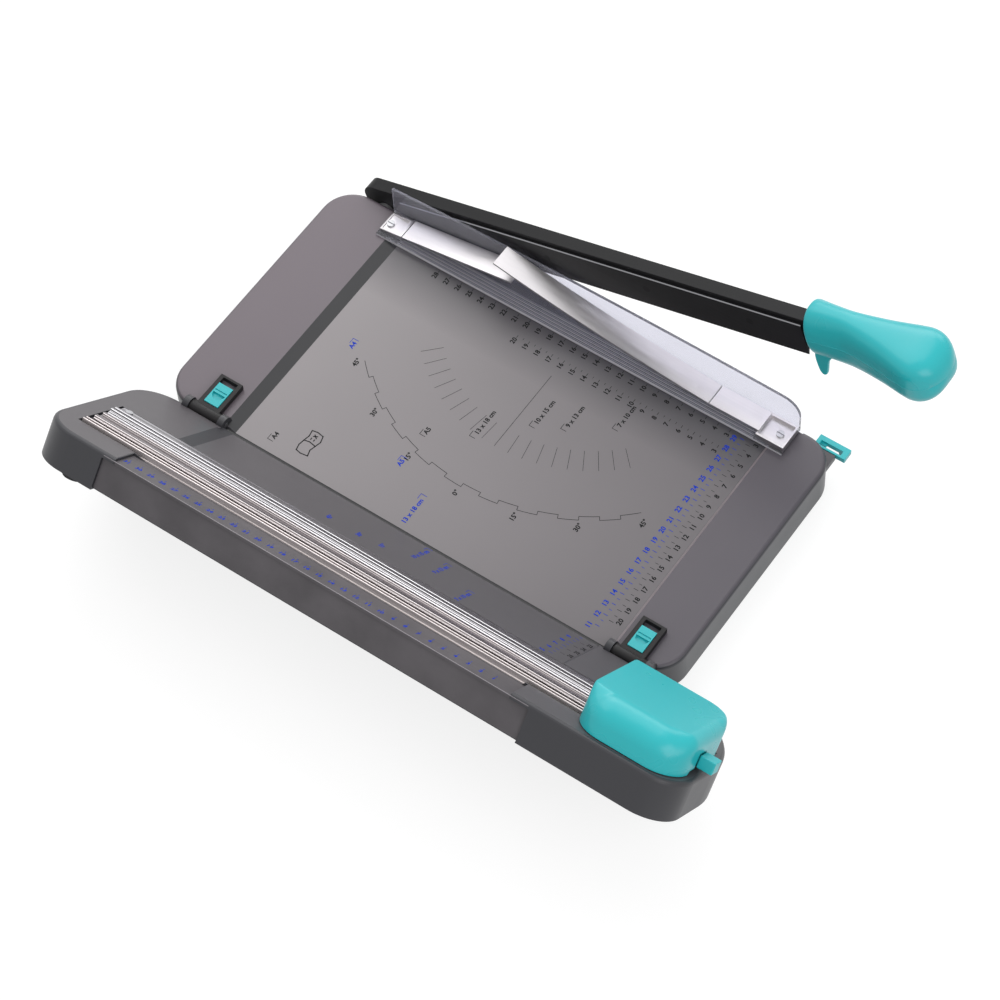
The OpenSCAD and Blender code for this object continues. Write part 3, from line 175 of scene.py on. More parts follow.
def bump(nt, bsdf, height, strength, distance):
    b = nt.nodes.new("ShaderNodeBump")
    b.inputs["Strength"].default_value = strength
    b.inputs["Distance"].default_value = distance
    nt.links.new(height, b.inputs["Height"])
    nt.links.new(b.outputs[0], bsdf.inputs["Normal"])


def paint(nt, bsdf, colour, roughness):
    nt.links.new(colour, bsdf.inputs["Base Color"])
    nt.links.new(roughness, bsdf.inputs["Roughness"])


# Materials

def plastic(name, rgb, rough, grain=2200, depth=0.00004, spread=0.06, specular=0.5):
    """Moulded plastic: faint clouding, slightly uneven gloss, fine spark-eroded grain."""
    mat, nt, bsdf = tree(name)
    at = coords(nt)
    cloud = remap(nt, noise(nt, at, 9, 2), 0, 1)
    gloss = remap(nt, noise(nt, at, 30, 2), rough - 0.02, rough + 0.03)
    paint(nt, bsdf, mottle(nt, cloud, rgb, 1 - spread, 1 + spread), gloss)
    bump(nt, bsdf, noise(nt, at, grain, 2), 0.25, depth)
    bsdf.inputs["Specular IOR Level"].default_value = specular
    return mat


def metal(name, rgb, rough, lines):
    """Rolled or ground metal with fine lines along one direction."""
    mat, nt, bsdf = tree(name)
    streak = noise(nt, coords(nt, lines), 1, 2)
    colour = mottle(nt, remap(nt, streak, 0, 1), rgb, 0.96, 1.04)
    paint(nt, bsdf, colour, remap(nt, streak, rough - 0.03, rough + 0.04))
    bump(nt, bsdf, streak, 0.15, 0.000004)
    bsdf.inputs["Metallic"].default_value = 1.0
    return mat


def drawn(name, edge, flat, rough, metallic, through=0.0):
    """Extruded strip: fine lines along its length; faces turned to the front are painted much paler than the
    flats, as a painted reflection.
    """
    mat, nt, bsdf = tree(name)
    streak = remap(nt, noise(nt, coords(nt, (2, 420, 420)), 1, 1), 0, 1, 0.4, 0.6)
    flats = mottle(nt, streak, flat, 0.7, 1.3)
    edges = mottle(nt, streak, edge, 0.85, 1.0)
    # Painted reflection: faces turned to the front of the folded trimmer take the pale colour, the flats the dark
    # one
    colour = blend(nt, facing(nt, FRONT_FOLDED, 0.2, 0.55), flats, edges)
    paint(nt, bsdf, colour, remap(nt, streak, rough - 0.03, rough + 0.04, 0, 1))
    bsdf.inputs["Metallic"].default_value = metallic
    bsdf.inputs["Transmission Weight"].default_value = through
    return mat


def edged_with_painted_highlight(name, rgb, edge, axis, rough, metallic_highlight=True):
    """Dark piece whose one bevel, facing along an axis, carries a painted highlight, metallic or not."""
    mat, nt, bsdf = tree(name)
    # Painted highlight: a narrow band of face directions about the axis takes the pale colour
    bevel = facing(nt, axis, 0.95, 0.98)
    dark = mottle(nt, remap(nt, noise(nt, coords(nt), 30, 3), 0, 1), rgb, 0.85, 1.15)
    lines = noise(nt, coords(nt, (12, 900, 900)), 1, 2)
    paint(nt, bsdf, blend(nt, bevel, dark, edge), remap(nt, lines, rough - 0.04, rough + 0.04))
    if metallic_highlight:
        nt.links.new(bevel, bsdf.inputs["Metallic"])
    bsdf.inputs["Specular IOR Level"].default_value = 0.25
    return mat


# Top of the ribs on the guard's foot; pale colour and clearness of the painted highlight on their fronts
RIB_TOP_Z = (34.3, 34.4)
PAINTED_RIB_SHINE, PAINTED_RIB_SHINE_THROUGH = (0.66, 0.65, 0.69), 0.1


def ribbed_guard(name, rgb, rough, through):
    """Clear sheet with faint flow lines; the front of each small rib on its foot is painted pale and less clear,
    as a painted highlight.
    """
    mat, nt, bsdf = tree(name)
    at = coords(nt)
    low = between(nt, axes(nt, at)[2], RIB_TOP_Z, 1, 0)
    # Painted highlight: fronts of the ribs below their top
    lit_rib_front = combine(nt, "MULTIPLY", low, facing(nt, (0.0, -1.0, 0.0), 0.5, 0.9))
    tint = mottle(nt, remap(nt, noise(nt, at, 30, 2), 0, 1), rgb, 0.97, 1.0)
    flow = noise(nt, coords(nt, (6, 400, 400)), 1, 2)
    paint(nt, bsdf, blend(nt, lit_rib_front, tint, PAINTED_RIB_SHINE), remap(nt, flow, rough, rough + 0.05))
    clear = remap(nt, lit_rib_front, through, PAINTED_RIB_SHINE_THROUGH, 0, 1)
    nt.links.new(clear, bsdf.inputs["Transmission Weight"])
    bsdf.inputs["IOR"].default_value = 1.25
    return mat


def ink(name, rgb):
    """Screen print: slightly uneven, matt ink."""
    mat, nt, bsdf = tree(name)
    at = coords(nt)
    colour = mottle(nt, remap(nt, noise(nt, at, 700, 3), 0, 1), rgb, 0.8, 1.25)
    paint(nt, bsdf, colour, remap(nt, noise(nt, at, 300, 2), 0.6, 0.75))
    bsdf.inputs["Specular IOR Level"].default_value = 0.2
    return mat


# Tones of the housings, with painted light: a painted sheen fades them along x, walls and the field's left slope
# are painted dark as shade, the field darkens towards the clamp as painted shade, and its right rise is painted
# pale as light
SHEEN_FADE_X = (-200.0, 200.0)
FIELD_RIM_Z = (FIELD_Z + 0.2, FIELD_Z + 0.6)
# Painted shade over the field near the clamp: its colour, its span in y and its greatest share
SHADY, SHADY_Y, SHADY_MOST = (0.048, 0.048, 0.057), (40.0, 82.0), 0.75
# Painted shade on the field's left slope and painted light on its right rise: the turn of their faces and their
# places in x
SLOPE_TURN = (0.03, 0.1)
LEFT_SLOPE_X, RIGHT_RISE_X = (-120.0, -100.0), (120.0, 130.0)
# Colour of the painted light on the field's right rise
PAINTED_LIT_RISE = (0.42, 0.36, 0.38)


def housing_plastic(name, top, wall, up, rough, shaded_wall_turn, field=None):
    """Housing with fine-grained top faces, walls and slopes darker as painted shade, and a paler field.

    The colours of the top and of the field are given at the left and at the right end, a painted sheen fading
    between them.
    """
    mat, nt, bsdf = tree(name)
    at = coords(nt)
    x, y, z = axes(nt, at)
    cloud = remap(nt, noise(nt, at, 7, 2), 0, 1)
    # Painted sheen: top and field colours fade from the left end to the right
    sheen_fade = between(nt, x, SHEEN_FADE_X)

    def clouded(left, right):
        dim, lit = (blend(nt, sheen_fade, shade(left, k), shade(right, k)) for k in (0.97, 1.03))
        return blend(nt, cloud, dim, lit)

    colour = clouded(*top)
    # Walls: their darker colour is painted shade
    side = mottle(nt, cloud, wall, 0.95, 1.06)
    if field:
        # Painted shade: the field darkens towards the clamp
        field_in_painted_shade = blend(nt, between(nt, y, SHADY_Y, 0, SHADY_MOST), clouded(*field), SHADY)
        colour = blend(nt, between(nt, z, FIELD_RIM_Z), field_in_painted_shade, colour)
        to_right, to_left = (facing(nt, (way, 0.0, 0.0), *SLOPE_TURN) for way in (1.0, -1.0))
        # Painted shade: the slope at the field's left edge, turned to +x, is painted dark
        shaded_slope = combine(nt, "MULTIPLY", to_right, between(nt, x, LEFT_SLOPE_X, 1, 0))
        colour = blend(nt, shaded_slope, colour, shade(SHADY, 0.3))
        # Painted light: the rise at the field's right edge, turned to -x, is painted pale
        lit_rise = combine(nt, "MULTIPLY", to_left, between(nt, x, RIGHT_RISE_X))
        side = blend(nt, lit_rise, side, PAINTED_LIT_RISE)
    gloss = remap(nt, noise(nt, at, 40, 5, 0.65), rough - 0.02, rough + 0.02)
    # Faces turned away from up take the wall colour as painted shade
    paint(nt, bsdf, blend(nt, facing(nt, up, *shaded_wall_turn), side, colour), gloss)
    bump(nt, bsdf, noise(nt, at, 2200, 2), 0.2, 0.00003)
    return mat


TEAL = (0.022, 0.500, 0.540)
TEAL_GRAIN = (250, 0.000004, 0.03)
# Directions of the painted highlights on the blade's top bevel and the ruler strip's front edge
BLADE_HIGHLIGHT_AXIS = (-0.215, -0.707, 0.674)
STRIP_HIGHLIGHT_AXIS = (0.0, -0.066, 0.998)
MATERIALS = {
    # Board housing: painted sheen fading along x, walls darker as painted shade, field with painted shade and
    # light
    "board_grey": housing_plastic(
        "board_grey", ((0.154, 0.129, 0.148), (0.088, 0.078, 0.094)), (0.027, 0.029, 0.036),
        UP, 0.36, (0.5, 0.97), ((0.302, 0.279, 0.287), (0.125, 0.113, 0.122)),
    ),
    # Trimmer housing: tops fade along x as painted sheen, walls darker as painted shade
    "trimmer_grey": housing_plastic(
        "trimmer_grey", ((0.098, 0.090, 0.098), (0.090, 0.086, 0.094)), (0.039, 0.039, 0.045),
        UP_FOLDED, 0.40, (0.98, 0.998),
    ),
    # Ruler strip: painted highlight along its front edge
    "strip_grey": edged_with_painted_highlight(
        "strip_grey", (0.112, 0.104, 0.112), (0.42, 0.39, 0.42), STRIP_HIGHLIGHT_AXIS, 0.40, metallic_highlight=False,
    ),
    "cover_dark": plastic("cover_dark", (0.050, 0.050, 0.055), 0.55),
    "foot_rubber": plastic("foot_rubber", (0.020, 0.020, 0.022), 0.75, 900, 0.0001),
    "arm_black": plastic("arm_black", (0.010, 0.010, 0.011), 0.42, 3000, 0.00002, 0.1, 0.2),
    # Blade: painted highlight, metallic, along its top bevel
    "blade_black": edged_with_painted_highlight("blade_black", (0.010, 0.010, 0.011), (0.34, 0.34, 0.36), BLADE_HIGHLIGHT_AXIS, 0.36),
    "blade_steel": metal("blade_steel", (0.62, 0.63, 0.65), 0.30, (12, 900, 900)),
    "screw_steel": metal("screw_steel", (0.50, 0.50, 0.52), 0.34, (900, 900, 900)),
    "leaf_aluminium": metal("leaf_aluminium", (0.63, 0.61, 0.625), 0.34, (4, 300, 300)),
    # Rail, clear strip and mat: pale fronts and dark flats are painted reflection
    "rail_aluminium": drawn("rail_aluminium", (0.80, 0.79, 0.81), (0.36, 0.35, 0.37), 0.22, 1.0),
    # Guard: painted highlight on the fronts of its foot's ribs
    "guard_clear": ribbed_guard("guard_clear", (0.84, 0.84, 0.93), 0.02, 0.9),
    # Clear strip: pale fronts are painted reflection
    "strip_clear": drawn("strip_clear", (0.86, 0.80, 0.80), (0.20, 0.18, 0.19), 0.2, 0.8, 0.1),
    "teal_plastic": plastic("teal_plastic", TEAL, 0.28, *TEAL_GRAIN),
    "teal_dark": plastic("teal_dark", shade(TEAL, 0.96), 0.3, *TEAL_GRAIN),
    # Cutting mat: pale rib fronts are painted reflection
    "mat_plastic": drawn("mat_plastic", (0.84, 0.77, 0.76), (0.34, 0.31, 0.31), 0.26, 0.8),
    "hinge_black": plastic("hinge_black", (0.014, 0.013, 0.014), 0.42, 1800, specular=0.3),
    "bush_brass": metal("bush_brass", (0.70, 0.52, 0.25), 0.32, (900, 900, 900)),
}
INK_BLACK = ink("ink_black", (0.010, 0.010, 0.011))
INK_BLUE = ink("ink_blue", (0.004, 0.038, 0.44))

for sub in frame["record"]["subparts"]:
    for place in frame["nodes"][sub["node"]].material_slots:
        place.material = MATERIALS[sub["material_slot"]]


# Meshes

SHARP_EDGE = math.radians(35)


def shown(name, mesh):
    """New object of the scene."""
    obj = bpy.data.objects.new(name, mesh)
    bpy.context.scene.collection.objects.link(obj)
    return obj


def final_mesh(obj):
    """Copy of an object's mesh with its modifiers applied."""
    return bpy.data.meshes.new_from_object(obj.evaluated_get(bpy.context.evaluated_depsgraph_get()))


def piece(name, verts, faces, slot, body, *stands_for):
    """Closed mesh, given in millimetres, that rides on a body."""
    mesh = bpy.data.meshes.new(name)
    mesh.from_pydata([Vector(v) * MM for v in verts], [], faces)
    bm = bmesh.new()
    bm.from_mesh(mesh)
    bmesh.ops.recalc_face_normals(bm, faces=bm.faces)
    bm.to_mesh(mesh)
    bm.free()
    mesh.shade_smooth()
    mesh.set_sharp_from_angle(angle=SHARP_EDGE)
    mesh.materials.append(MATERIALS[slot])
    obj = shown(name, mesh)
    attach(obj, body)
    if stands_for:
        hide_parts(*stands_for)
    return obj


def skin(rings):
    """Points and faces over a stack of rings of equal length, both ends closed."""
    n = len(rings[0])
    last = (len(rings) - 1) * n
    faces = [tuple(range(n))[::-1], tuple(range(last, last + n))]
    for low in range(0, last, n):
        for j in range(n):
            a, b = low + j, low + (j + 1) % n
            faces.append((a, b, b + n, a + n))
    return [p for ring in rings for p in ring], faces


def smooth(knots, at):
    """Values of a smooth curve through rows of (place, value, value...)."""
    k = max([i for i in range(len(knots) - 1) if knots[i][0] <= at], default=0)
    p, q = knots[k], knots[k + 1]
    before, after = knots[max(k - 1, 0)], knots[min(k + 2, len(knots) - 1)]
    step = q[0] - p[0]
    t = min((at - p[0]) / step, 1.0)
    values = []
    for c in range(1, len(p)):
        m = (q[c] - before[c]) / (q[0] - before[0]) * step
        n = (after[c] - p[c]) / (after[0] - p[0]) * step
        values.append(
            (2 * t**3 - 3 * t**2 + 1) * p[c] + (t**3 - 2 * t**2 + t) * m
            + (3 * t**2 - 2 * t**3) * q[c] + (t**3 - t**2) * n
        )
    return values


def rounded(points, times):
    """Closed outline with its corners cut again and again."""
    for _ in range(times):
        points = [
            p * w + q * (1 - w) for p, q in zip(points, points[1:] + points[:1]) for w in (0.75, 0.25)
        ]
    return points


def inset(points, d):
    """Closed outline moved inwards, for one that runs anticlockwise."""
    out = []
    for before, p, after in zip(points[-1:] + points[:-1], points, points[1:] + points[:1]):
        t = (after - before).normalized()
        out.append(p + Vector((-t.y, t.x)) * d)
    return out


def cut_box(obj, low, high, place):
    """Takes a box, given in millimetres, out of a piece."""
    size = [b - a for a, b in zip(low, high)]
    mid = [(a + b) / 2 for a, b in zip(low, high)]
    bm = bmesh.new()
    bmesh.ops.create_cube(bm, size=1.0)
    to_box = place @ Matrix.Translation(mid) @ Matrix.Diagonal((*size, 1))
    bmesh.ops.transform(bm, matrix=Matrix.Scale(MM, 4) @ to_box, verts=bm.verts)
    mesh = bpy.data.meshes.new("cutter")
    bm.to_mesh(mesh)
    bm.free()
    cutter = shown("cutter", mesh)
    mod = obj.modifiers.new("cut", "BOOLEAN")
    mod.object = cutter
    mod.solver = "EXACT"
    result = final_mesh(obj)
    obj.modifiers.remove(mod)
    obj.data = result
    bpy.data.objects.remove(cutter)


# Handle: share of the length, half width, half height, squareness of the section
GRIP = (
    (0.0, 14.5, 21.5, 2.3), (0.15, 13.0, 22.2, 2.35), (0.3, 12.3, 22.5, 2.5),
    (0.55, 16.8, 21.3, 2.9), (0.8, 23.0, 19.5, 3.4), (1.0, 23.6, 19.3, 3.5),
)
GRIP_START, GRIP_L, GRIP_Z = 379.0, 108.0, 2.5
GRIP_Y, GRIP_SWING = 121.35, 5.5
GRIP_SIDES, GRIP_STEPS, TAIL_STEPS = 32, 22, 14
GRIP_LIP = ((0.0, 0.93), (0.004, 0.965), (0.011, 0.99), (0.02, 1.0))
TAIL_START, TAIL_REACH, TAIL_POWER = 0.78, 0.96, 2.32
TAIL_TIP = ((1.006, 0.72), (1.009, 0.36))
SEAM, SEAM_GAP = 0.3, 0.02


def power(v, p):
    return math.copysign(abs(v) ** p, v)


def grip_ring(share, scale, side):
    """Half section of the handle above or below its seam."""
    a, b, p = smooth(GRIP, min(share, 1.0))
    a, b = a * scale, b * scale
    ring = [(-a + SEAM, SEAM_GAP), (-a, SEAM)]
    for i in range(2, GRIP_SIDES - 1):
        t = math.pi * (i / GRIP_SIDES - 0.5)
        ring.append((a * power(math.sin(t), 2 / p), b * power(math.cos(t), 2 / p)))
    ring += [(a, SEAM), (a - SEAM, SEAM_GAP)]
    along, mid = GRIP_START + share * GRIP_L, GRIP_Y - share * GRIP_SWING
    return [ON_ARM @ Vector((along, mid + y, GRIP_Z + side * max(z, SEAM_GAP))) for y, z in ring]


def grip_stations():
    """Shares of the handle's length with the scale of the section there."""
    rows = list(GRIP_LIP)
    start = GRIP_LIP[-1][0]
    rows += [(start + (TAIL_START - start) * i / GRIP_STEPS, 1.0) for i in range(1, GRIP_STEPS + 1)]
    for i in range(1, TAIL_STEPS + 1):
        sweep = math.sin(math.pi / 2 * i / TAIL_STEPS)
        scale = (1 - (TAIL_REACH * sweep) ** TAIL_POWER) ** (1 / TAIL_POWER)
        rows.append((TAIL_START + (1 - TAIL_START) * sweep, scale))
    return rows + [(share, scale * k) for share, k in TAIL_TIP]


for name, side, slot, node in (
    ("handle_top_shell", 1, "teal_plastic", "handle_upper"),
    ("handle_under_shell", -1, "teal_dark", "handle_lower"),
):
    piece(name, *skin([grip_ring(f, k, side) for f, k in grip_stations()]), slot, "arm", node)

# Fin under the handle, with rounded edges, and the notch for the lock's tongue where the arm is shut
FIN_Y, FIN_HALF, FIN_EDGE = 113.5, 1.2, 0.5
FIN = (
    (397, -12), (380, -12), (377.2, -18.5), (377.4, -31), (378.4, -35.2), (380.4, -37), (382.6, -36.2),
    (384.4, -33.6), (387.6, -23), (390, -18.5),
)
FIN_SECTION = (
    (-FIN_HALF, FIN_EDGE), (-FIN_HALF + FIN_EDGE, 0), (FIN_HALF - FIN_EDGE, 0), (FIN_HALF, FIN_EDGE),
)
NOTCH = (195.8, 113.1, 17.3), (205.1, 115.4, 20.9)

fin_outline = rounded([Vector(p) for p in FIN], 2)
fin_rings = [
    [ON_ARM @ Vector((p.x, FIN_Y + y, p.y)) for p in inset(fin_outline, d)] for y, d in FIN_SECTION
]
fin = piece("handle_fin", *skin(fin_rings), "teal_dark", "arm", "handle_lower")
cut_box(fin, *NOTCH, FROM_SHUT)

# Cutter head: a hollow shell, flat on top, whose broad front round runs out round the corners
HEAD_X, HEAD_Y, HEAD_Z = (206.0, 286.0), (-243.5, -162.5), (31.7, 58.1)
HEAD_WALL, HEAD_CORNER, HEAD_REAR = 2.4, 23.0, 3.0
EDGE_FRONT, EDGE_LEFT, EDGE_RIGHT, EDGE_REAR, EDGE_LEAST = 17.0, 1.2, 9.0, 1.2, 0.4
CORNER_STEPS, EDGE_STEPS, TOP_INSET = 20, 12, 0.6
# Openings in its walls: the way over the rail and the gate of the cartridge, with their steps
WAY_Y, WAY_Z = (-222.0, -170.0), 34.35
GATE_HALF, GATE_Z = 5.35, 45.2
STEP = 0.05


def head_outline():
    """Plan of the head: place, outward direction and height of the lower rim at each point."""
    left, right, front = HEAD_X[0] + HEAD_CORNER, HEAD_X[1] - HEAD_CORNER, HEAD_Y[0] + HEAD_CORNER
    turns = (
        (HEAD_X[0] + HEAD_REAR, HEAD_Y[1] - HEAD_REAR, HEAD_REAR, 90),
        (left, front, HEAD_CORNER, 180),
        (right, front, HEAD_CORNER, 270),
        (right, HEAD_Y[1] - HEAD_CORNER, HEAD_CORNER, 0),
    )
    way_start = ((WAY_Y[1] + STEP, HEAD_Z[0]), (WAY_Y[1] - STEP, WAY_Z))
    gate = (
        (CUT_Y - GATE_HALF - STEP, WAY_Z), (CUT_Y - GATE_HALF, GATE_Z),
        (CUT_Y + GATE_HALF, GATE_Z), (CUT_Y + GATE_HALF + STEP, WAY_Z),
    )
    points = []
    for x, y, r, start in turns:
        for i in range(CORNER_STEPS + 1):
            a = math.radians(start + 90 * i / CORNER_STEPS)
            n = Vector((math.cos(a), math.sin(a)))
            p = Vector((x, y)) + n * r
            way = WAY_Y[0] < p.y < WAY_Y[1] and abs(n.x) > 0.5
            points.append((p, n, WAY_Z if way else HEAD_Z[0]))
        if start == 90:
            points += [(Vector((HEAD_X[0], y)), Vector((-1, 0)), z) for y, z in way_start]
        if start == 270:
            points += [(Vector((HEAD_X[1], y)), Vector((1, 0)), z) for y, z in gate]
    return points


def ease(v):
    """0 to 1, gently, as a direction turns towards an axis."""
    v = min(max((v - 0.05) / 0.75, 0.0), 1.0)
    return v * v * (3 - 2 * v)


def head_rings(outline, wall):
    """Rings from the lower rim to the flat top, on the outside or a wall further in."""
    rims = []
    for p, n, low in outline:
        side = EDGE_LEFT if n.x < 0 else EDGE_RIGHT
        edge = side + (EDGE_REAR - side) * ease(n.y) + (EDGE_FRONT - side) * ease(-n.y)
        rims.append((p - n * wall, n, low, max(edge - wall, EDGE_LEAST)))
    top = HEAD_Z[1] - wall
    rings = [[(p.x, p.y, low) for p, n, low, r in rims]]
    for i in range(EDGE_STEPS + 1):
        a = math.pi / 2 * i / EDGE_STEPS
        inward, down = 1 - math.cos(a), 1 - math.sin(a)
        rings.append([(*(p - n * r * inward), top - r * down) for p, n, low, r in rims])
    rings.append([(*(p - n * (r + TOP_INSET)), top) for p, n, low, r in rims])
    return [[TO_FOLD @ Vector(p) for p in ring] for ring in rings]


plan = head_outline()
head_skin = skin(head_rings(plan, HEAD_WALL)[::-1] + head_rings(plan, 0.0))
piece("head_cover", *head_skin, "teal_plastic", "head", "head_shell")

# Sunk tray at the left end of the clamp, in line with its leaf
TRAY_X, TRAY_Y, TRAY_Z = (-165.7, -146.0), (88.0, 105.5), (33.0, 45.0)
TRAY_FLOOR, TRAY_RIM = 34.1, 1.5
TRAY_END = ((0.0, 0.4), (0.12, 0.12), (0.4, 0.0))
TRAY_EDGE = ((0.0, 0.5), (0.15, 0.15), (0.5, 0.0))
LEAF_AT, LEAF_UP = (-145.0, 38.51), math.tan(math.radians(10.6))


def tray_ring(x, d):
    """Section of the tray across the clamp, its upper edges rounded."""
    top = LEAF_AT[1] + (x - LEAF_AT[0]) * LEAF_UP - d
    front, rear = TRAY_Y[0] + d, TRAY_Y[1] - d
    section = [(front, TRAY_Z[0])]
    section += [(front + a, top - b) for a, b in TRAY_EDGE]
    section += [(rear - a, top - b) for a, b in TRAY_EDGE[::-1]]
    section += [(rear, TRAY_Z[0])]
    return [Vector((x, y, z)) for y, z in section]


tray_rings = [tray_ring(TRAY_X[0] + a, d) for a, d in TRAY_END] + [tray_ring(TRAY_X[1], 0.0)]
tray = piece("clamp_tray_left", *skin(tray_rings), "leaf_aluminium", "board", "clamp_anchor_left")
cut_box(
    tray,
    (TRAY_X[0] + TRAY_RIM, TRAY_Y[0] + TRAY_RIM, TRAY_FLOOR),
    (TRAY_X[1] - 2 * TRAY_RIM, TRAY_Y[1] - TRAY_RIM, TRAY_Z[1]),
    Matrix.Identity(4),
)

# Rounded bead along the front edge of the ruler strip; the strip's material paints a highlight along its top
BEAD_X, BEAD_Y, BEAD_Z, BEAD_R = (-166.6, 179.6), -247.35, 28.75, 0.6
BEAD_END = ((0.0, 0.5), (0.2, 0.85), (0.5, 1.0))
BEAD_SIDES = 20


def bead_ring(x, scale):
    turns = [math.tau * i / BEAD_SIDES for i in range(BEAD_SIDES)]
    r = BEAD_R * scale
    return [TO_FOLD @ Vector((x, BEAD_Y + r * math.cos(a), BEAD_Z + r * math.sin(a))) for a in turns]


bead_rings = [bead_ring(BEAD_X[0] + a, k) for a, k in BEAD_END]
bead_rings += [bead_ring(BEAD_X[1] - a, k) for a, k in BEAD_END[::-1]]
piece("ruler_bead", *skin(bead_rings), "strip_grey", "trimmer")

# Small rounds along the edges of the plain pieces of the frame
EDGE_ROUNDS = {
    "guide_rail": 0.40, "clear_strip": 0.9, "cutting_mat": 0.5, "ruler_strip": 0.7,
    "blade_cartridge": 0.8, "lock_slide": 0.4, "latch_slide_left": 0.35, "latch_slide_right": 0.35,
    "hinge_bracket_left": 0.4, "hinge_bracket_right": 0.4,
}
WELD_GAP, ROUND_ANGLE = 0.005, math.radians(40)

for node, width in EDGE_ROUNDS.items():
    modifiers = frame["nodes"][node].modifiers
    weld = modifiers.new("weld", "WELD")
    weld.merge_threshold = WELD_GAP * MM
    bevel = modifiers.new("edge", "BEVEL")
    bevel.width = width * MM
    bevel.segments = 2
    bevel.limit_method = "ANGLE"
    bevel.angle_limit = ROUND_ANGLE


# Printed scales, thin raised ink on the plastic

INK_TOP, INK_LOW, INK_BOLD, INK_WELD = 0.04, -0.03, 0.16, 0.001
THICK, LINE, FINE, SIGN = 0.4, 0.35, 0.3, 0.8
FIGURE, LABEL, TABLE_FIGURE = 5.2, 5.0, 4.8
CM, HALF_CM = 10, 5
GLYPHS = {}


def glyphs(text, size):
    """Mesh of a short string, centred, lying in XY."""
    key = (text, size)
    if key not in GLYPHS:
        curve = bpy.data.curves.new("glyphs", "FONT")
        curve.body = text
        curve.size = size
        curve.extrude = (INK_TOP - INK_LOW) / 2
        curve.offset = INK_BOLD
        curve.resolution_u = 2
        curve.align_x = "CENTER"
        curve.align_y = "CENTER"
        obj = shown("glyphs", curve)
        mesh = final_mesh(obj)
        bm = bmesh.new()
        bm.from_mesh(mesh)
        bmesh.ops.remove_doubles(bm, verts=bm.verts, dist=INK_WELD)
        bmesh.ops.dissolve_degenerate(bm, edges=bm.edges, dist=INK_WELD)
        bm.to_mesh(mesh)
        bm.free()
        GLYPHS[key] = mesh
        bpy.data.objects.remove(obj)
        bpy.data.curves.remove(curve)
    return GLYPHS[key]


class Print:
    """Ink of one colour on one flat face, gathered in one mesh."""

    def __init__(self, name, mat, place, body, slot):
        self.bm = bmesh.new()
        self.name, self.mat, self.place, self.body, self.slot = name, mat, place, body, slot

    def bar(self, p, q, width=LINE):
        p, q = Vector(p), Vector(q)
        along = (q - p).normalized() * width / 2
        side = Vector((-along.y, along.x))
        p, q = p - along, q + along
        corners = [p - side, q - side, q + side, p + side]
        low = [self.bm.verts.new((c.x, c.y, INK_LOW)) for c in corners]
        top = [self.bm.verts.new((c.x, c.y, INK_TOP)) for c in corners]
        self.bm.faces.new(low[::-1])
        self.bm.faces.new(top)
        for i in range(4):
            j = (i + 1) % 4
            self.bm.faces.new((low[i], low[j], top[j], top[i]))

    def path(self, points, width):
        for p, q in zip(points, points[1:]):
            self.bar(p, q, width)

    def text(self, text, at, size, turn=90):
        mesh = glyphs(text, size).copy()
        to_place = Matrix.Translation((at[0], at[1], (INK_TOP + INK_LOW) / 2))
        mesh.transform(to_place @ Matrix.Rotation(math.radians(turn), 4, "Z"))
        self.bm.from_mesh(mesh)
        bpy.data.meshes.remove(mesh)

    def done(self):
        mesh = bpy.data.meshes.new(self.name)
        self.bm.to_mesh(mesh)
        self.bm.free()
        mesh.transform(Matrix.Scale(MM, 4) @ self.place)
        mesh.materials.append(self.mat)
        obj = shown(self.name, mesh)
        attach(obj, self.body)


ON_FIELD = Matrix.Translation((0, 0, FIELD_Z))
ON_TABLE = TO_FOLD @ ON_FIELD

black = Print("print_board_black", INK_BLACK, ON_FIELD, "board", "board_grey")
blue = Print("print_board_blue", INK_BLUE, ON_FIELD, "board", "board_grey")
table_black = Print("print_table_black", INK_BLACK, ON_TABLE, "trimmer", "trimmer_grey")
table_blue = Print("print_table_blue", INK_BLUE, ON_TABLE, "trimmer", "trimmer_grey")

# Centimetre column of the rotary cut, blue, on the table up to the fold and then on the board
ROTARY_X = {table_blue: 143.0, blue: 146.0}
FOLD_CM, LAST_CM = 10, 29
for n in [*range(5, FOLD_CM), *range(FOLD_CM + 1, LAST_CM + 1)]:
    sheet = table_blue if n < FOLD_CM else blue
    x, y = ROTARY_X[sheet], CUT_Y + CM * n
    sheet.text(str(n), (x, y - 2.5), FIGURE)
    sheet.bar((x + 3.6, y), (x + 6.6, y), THICK)
    if n != LAST_CM:
        sheet.bar((x + 4.6, y + HALF_CM), (x + 6.6, y + HALF_CM))

# Centimetre column of the lever cut, black, on the board and on the table
LEVER_X, LEVER_TABLE_X = 155.6, 152.0
for n in range(3, 21):
    y = EDGE_Y - CM * n
    black.text(str(n), (LEVER_X + 6.9, y + 2.8), FIGURE)
    black.bar((LEVER_X, y), (LEVER_X + 3.2, y))
    black.bar((LEVER_X + 1.0, y + HALF_CM), (LEVER_X + 3.2, y + HALF_CM), FINE)
for n in range(23, 27):
    y = EDGE_Y - CM * n
    table_black.text(str(n), (LEVER_TABLE_X + 6.5, y + 2.8), TABLE_FIGURE)
    table_black.bar((LEVER_TABLE_X, y), (LEVER_TABLE_X + 3.0, y))

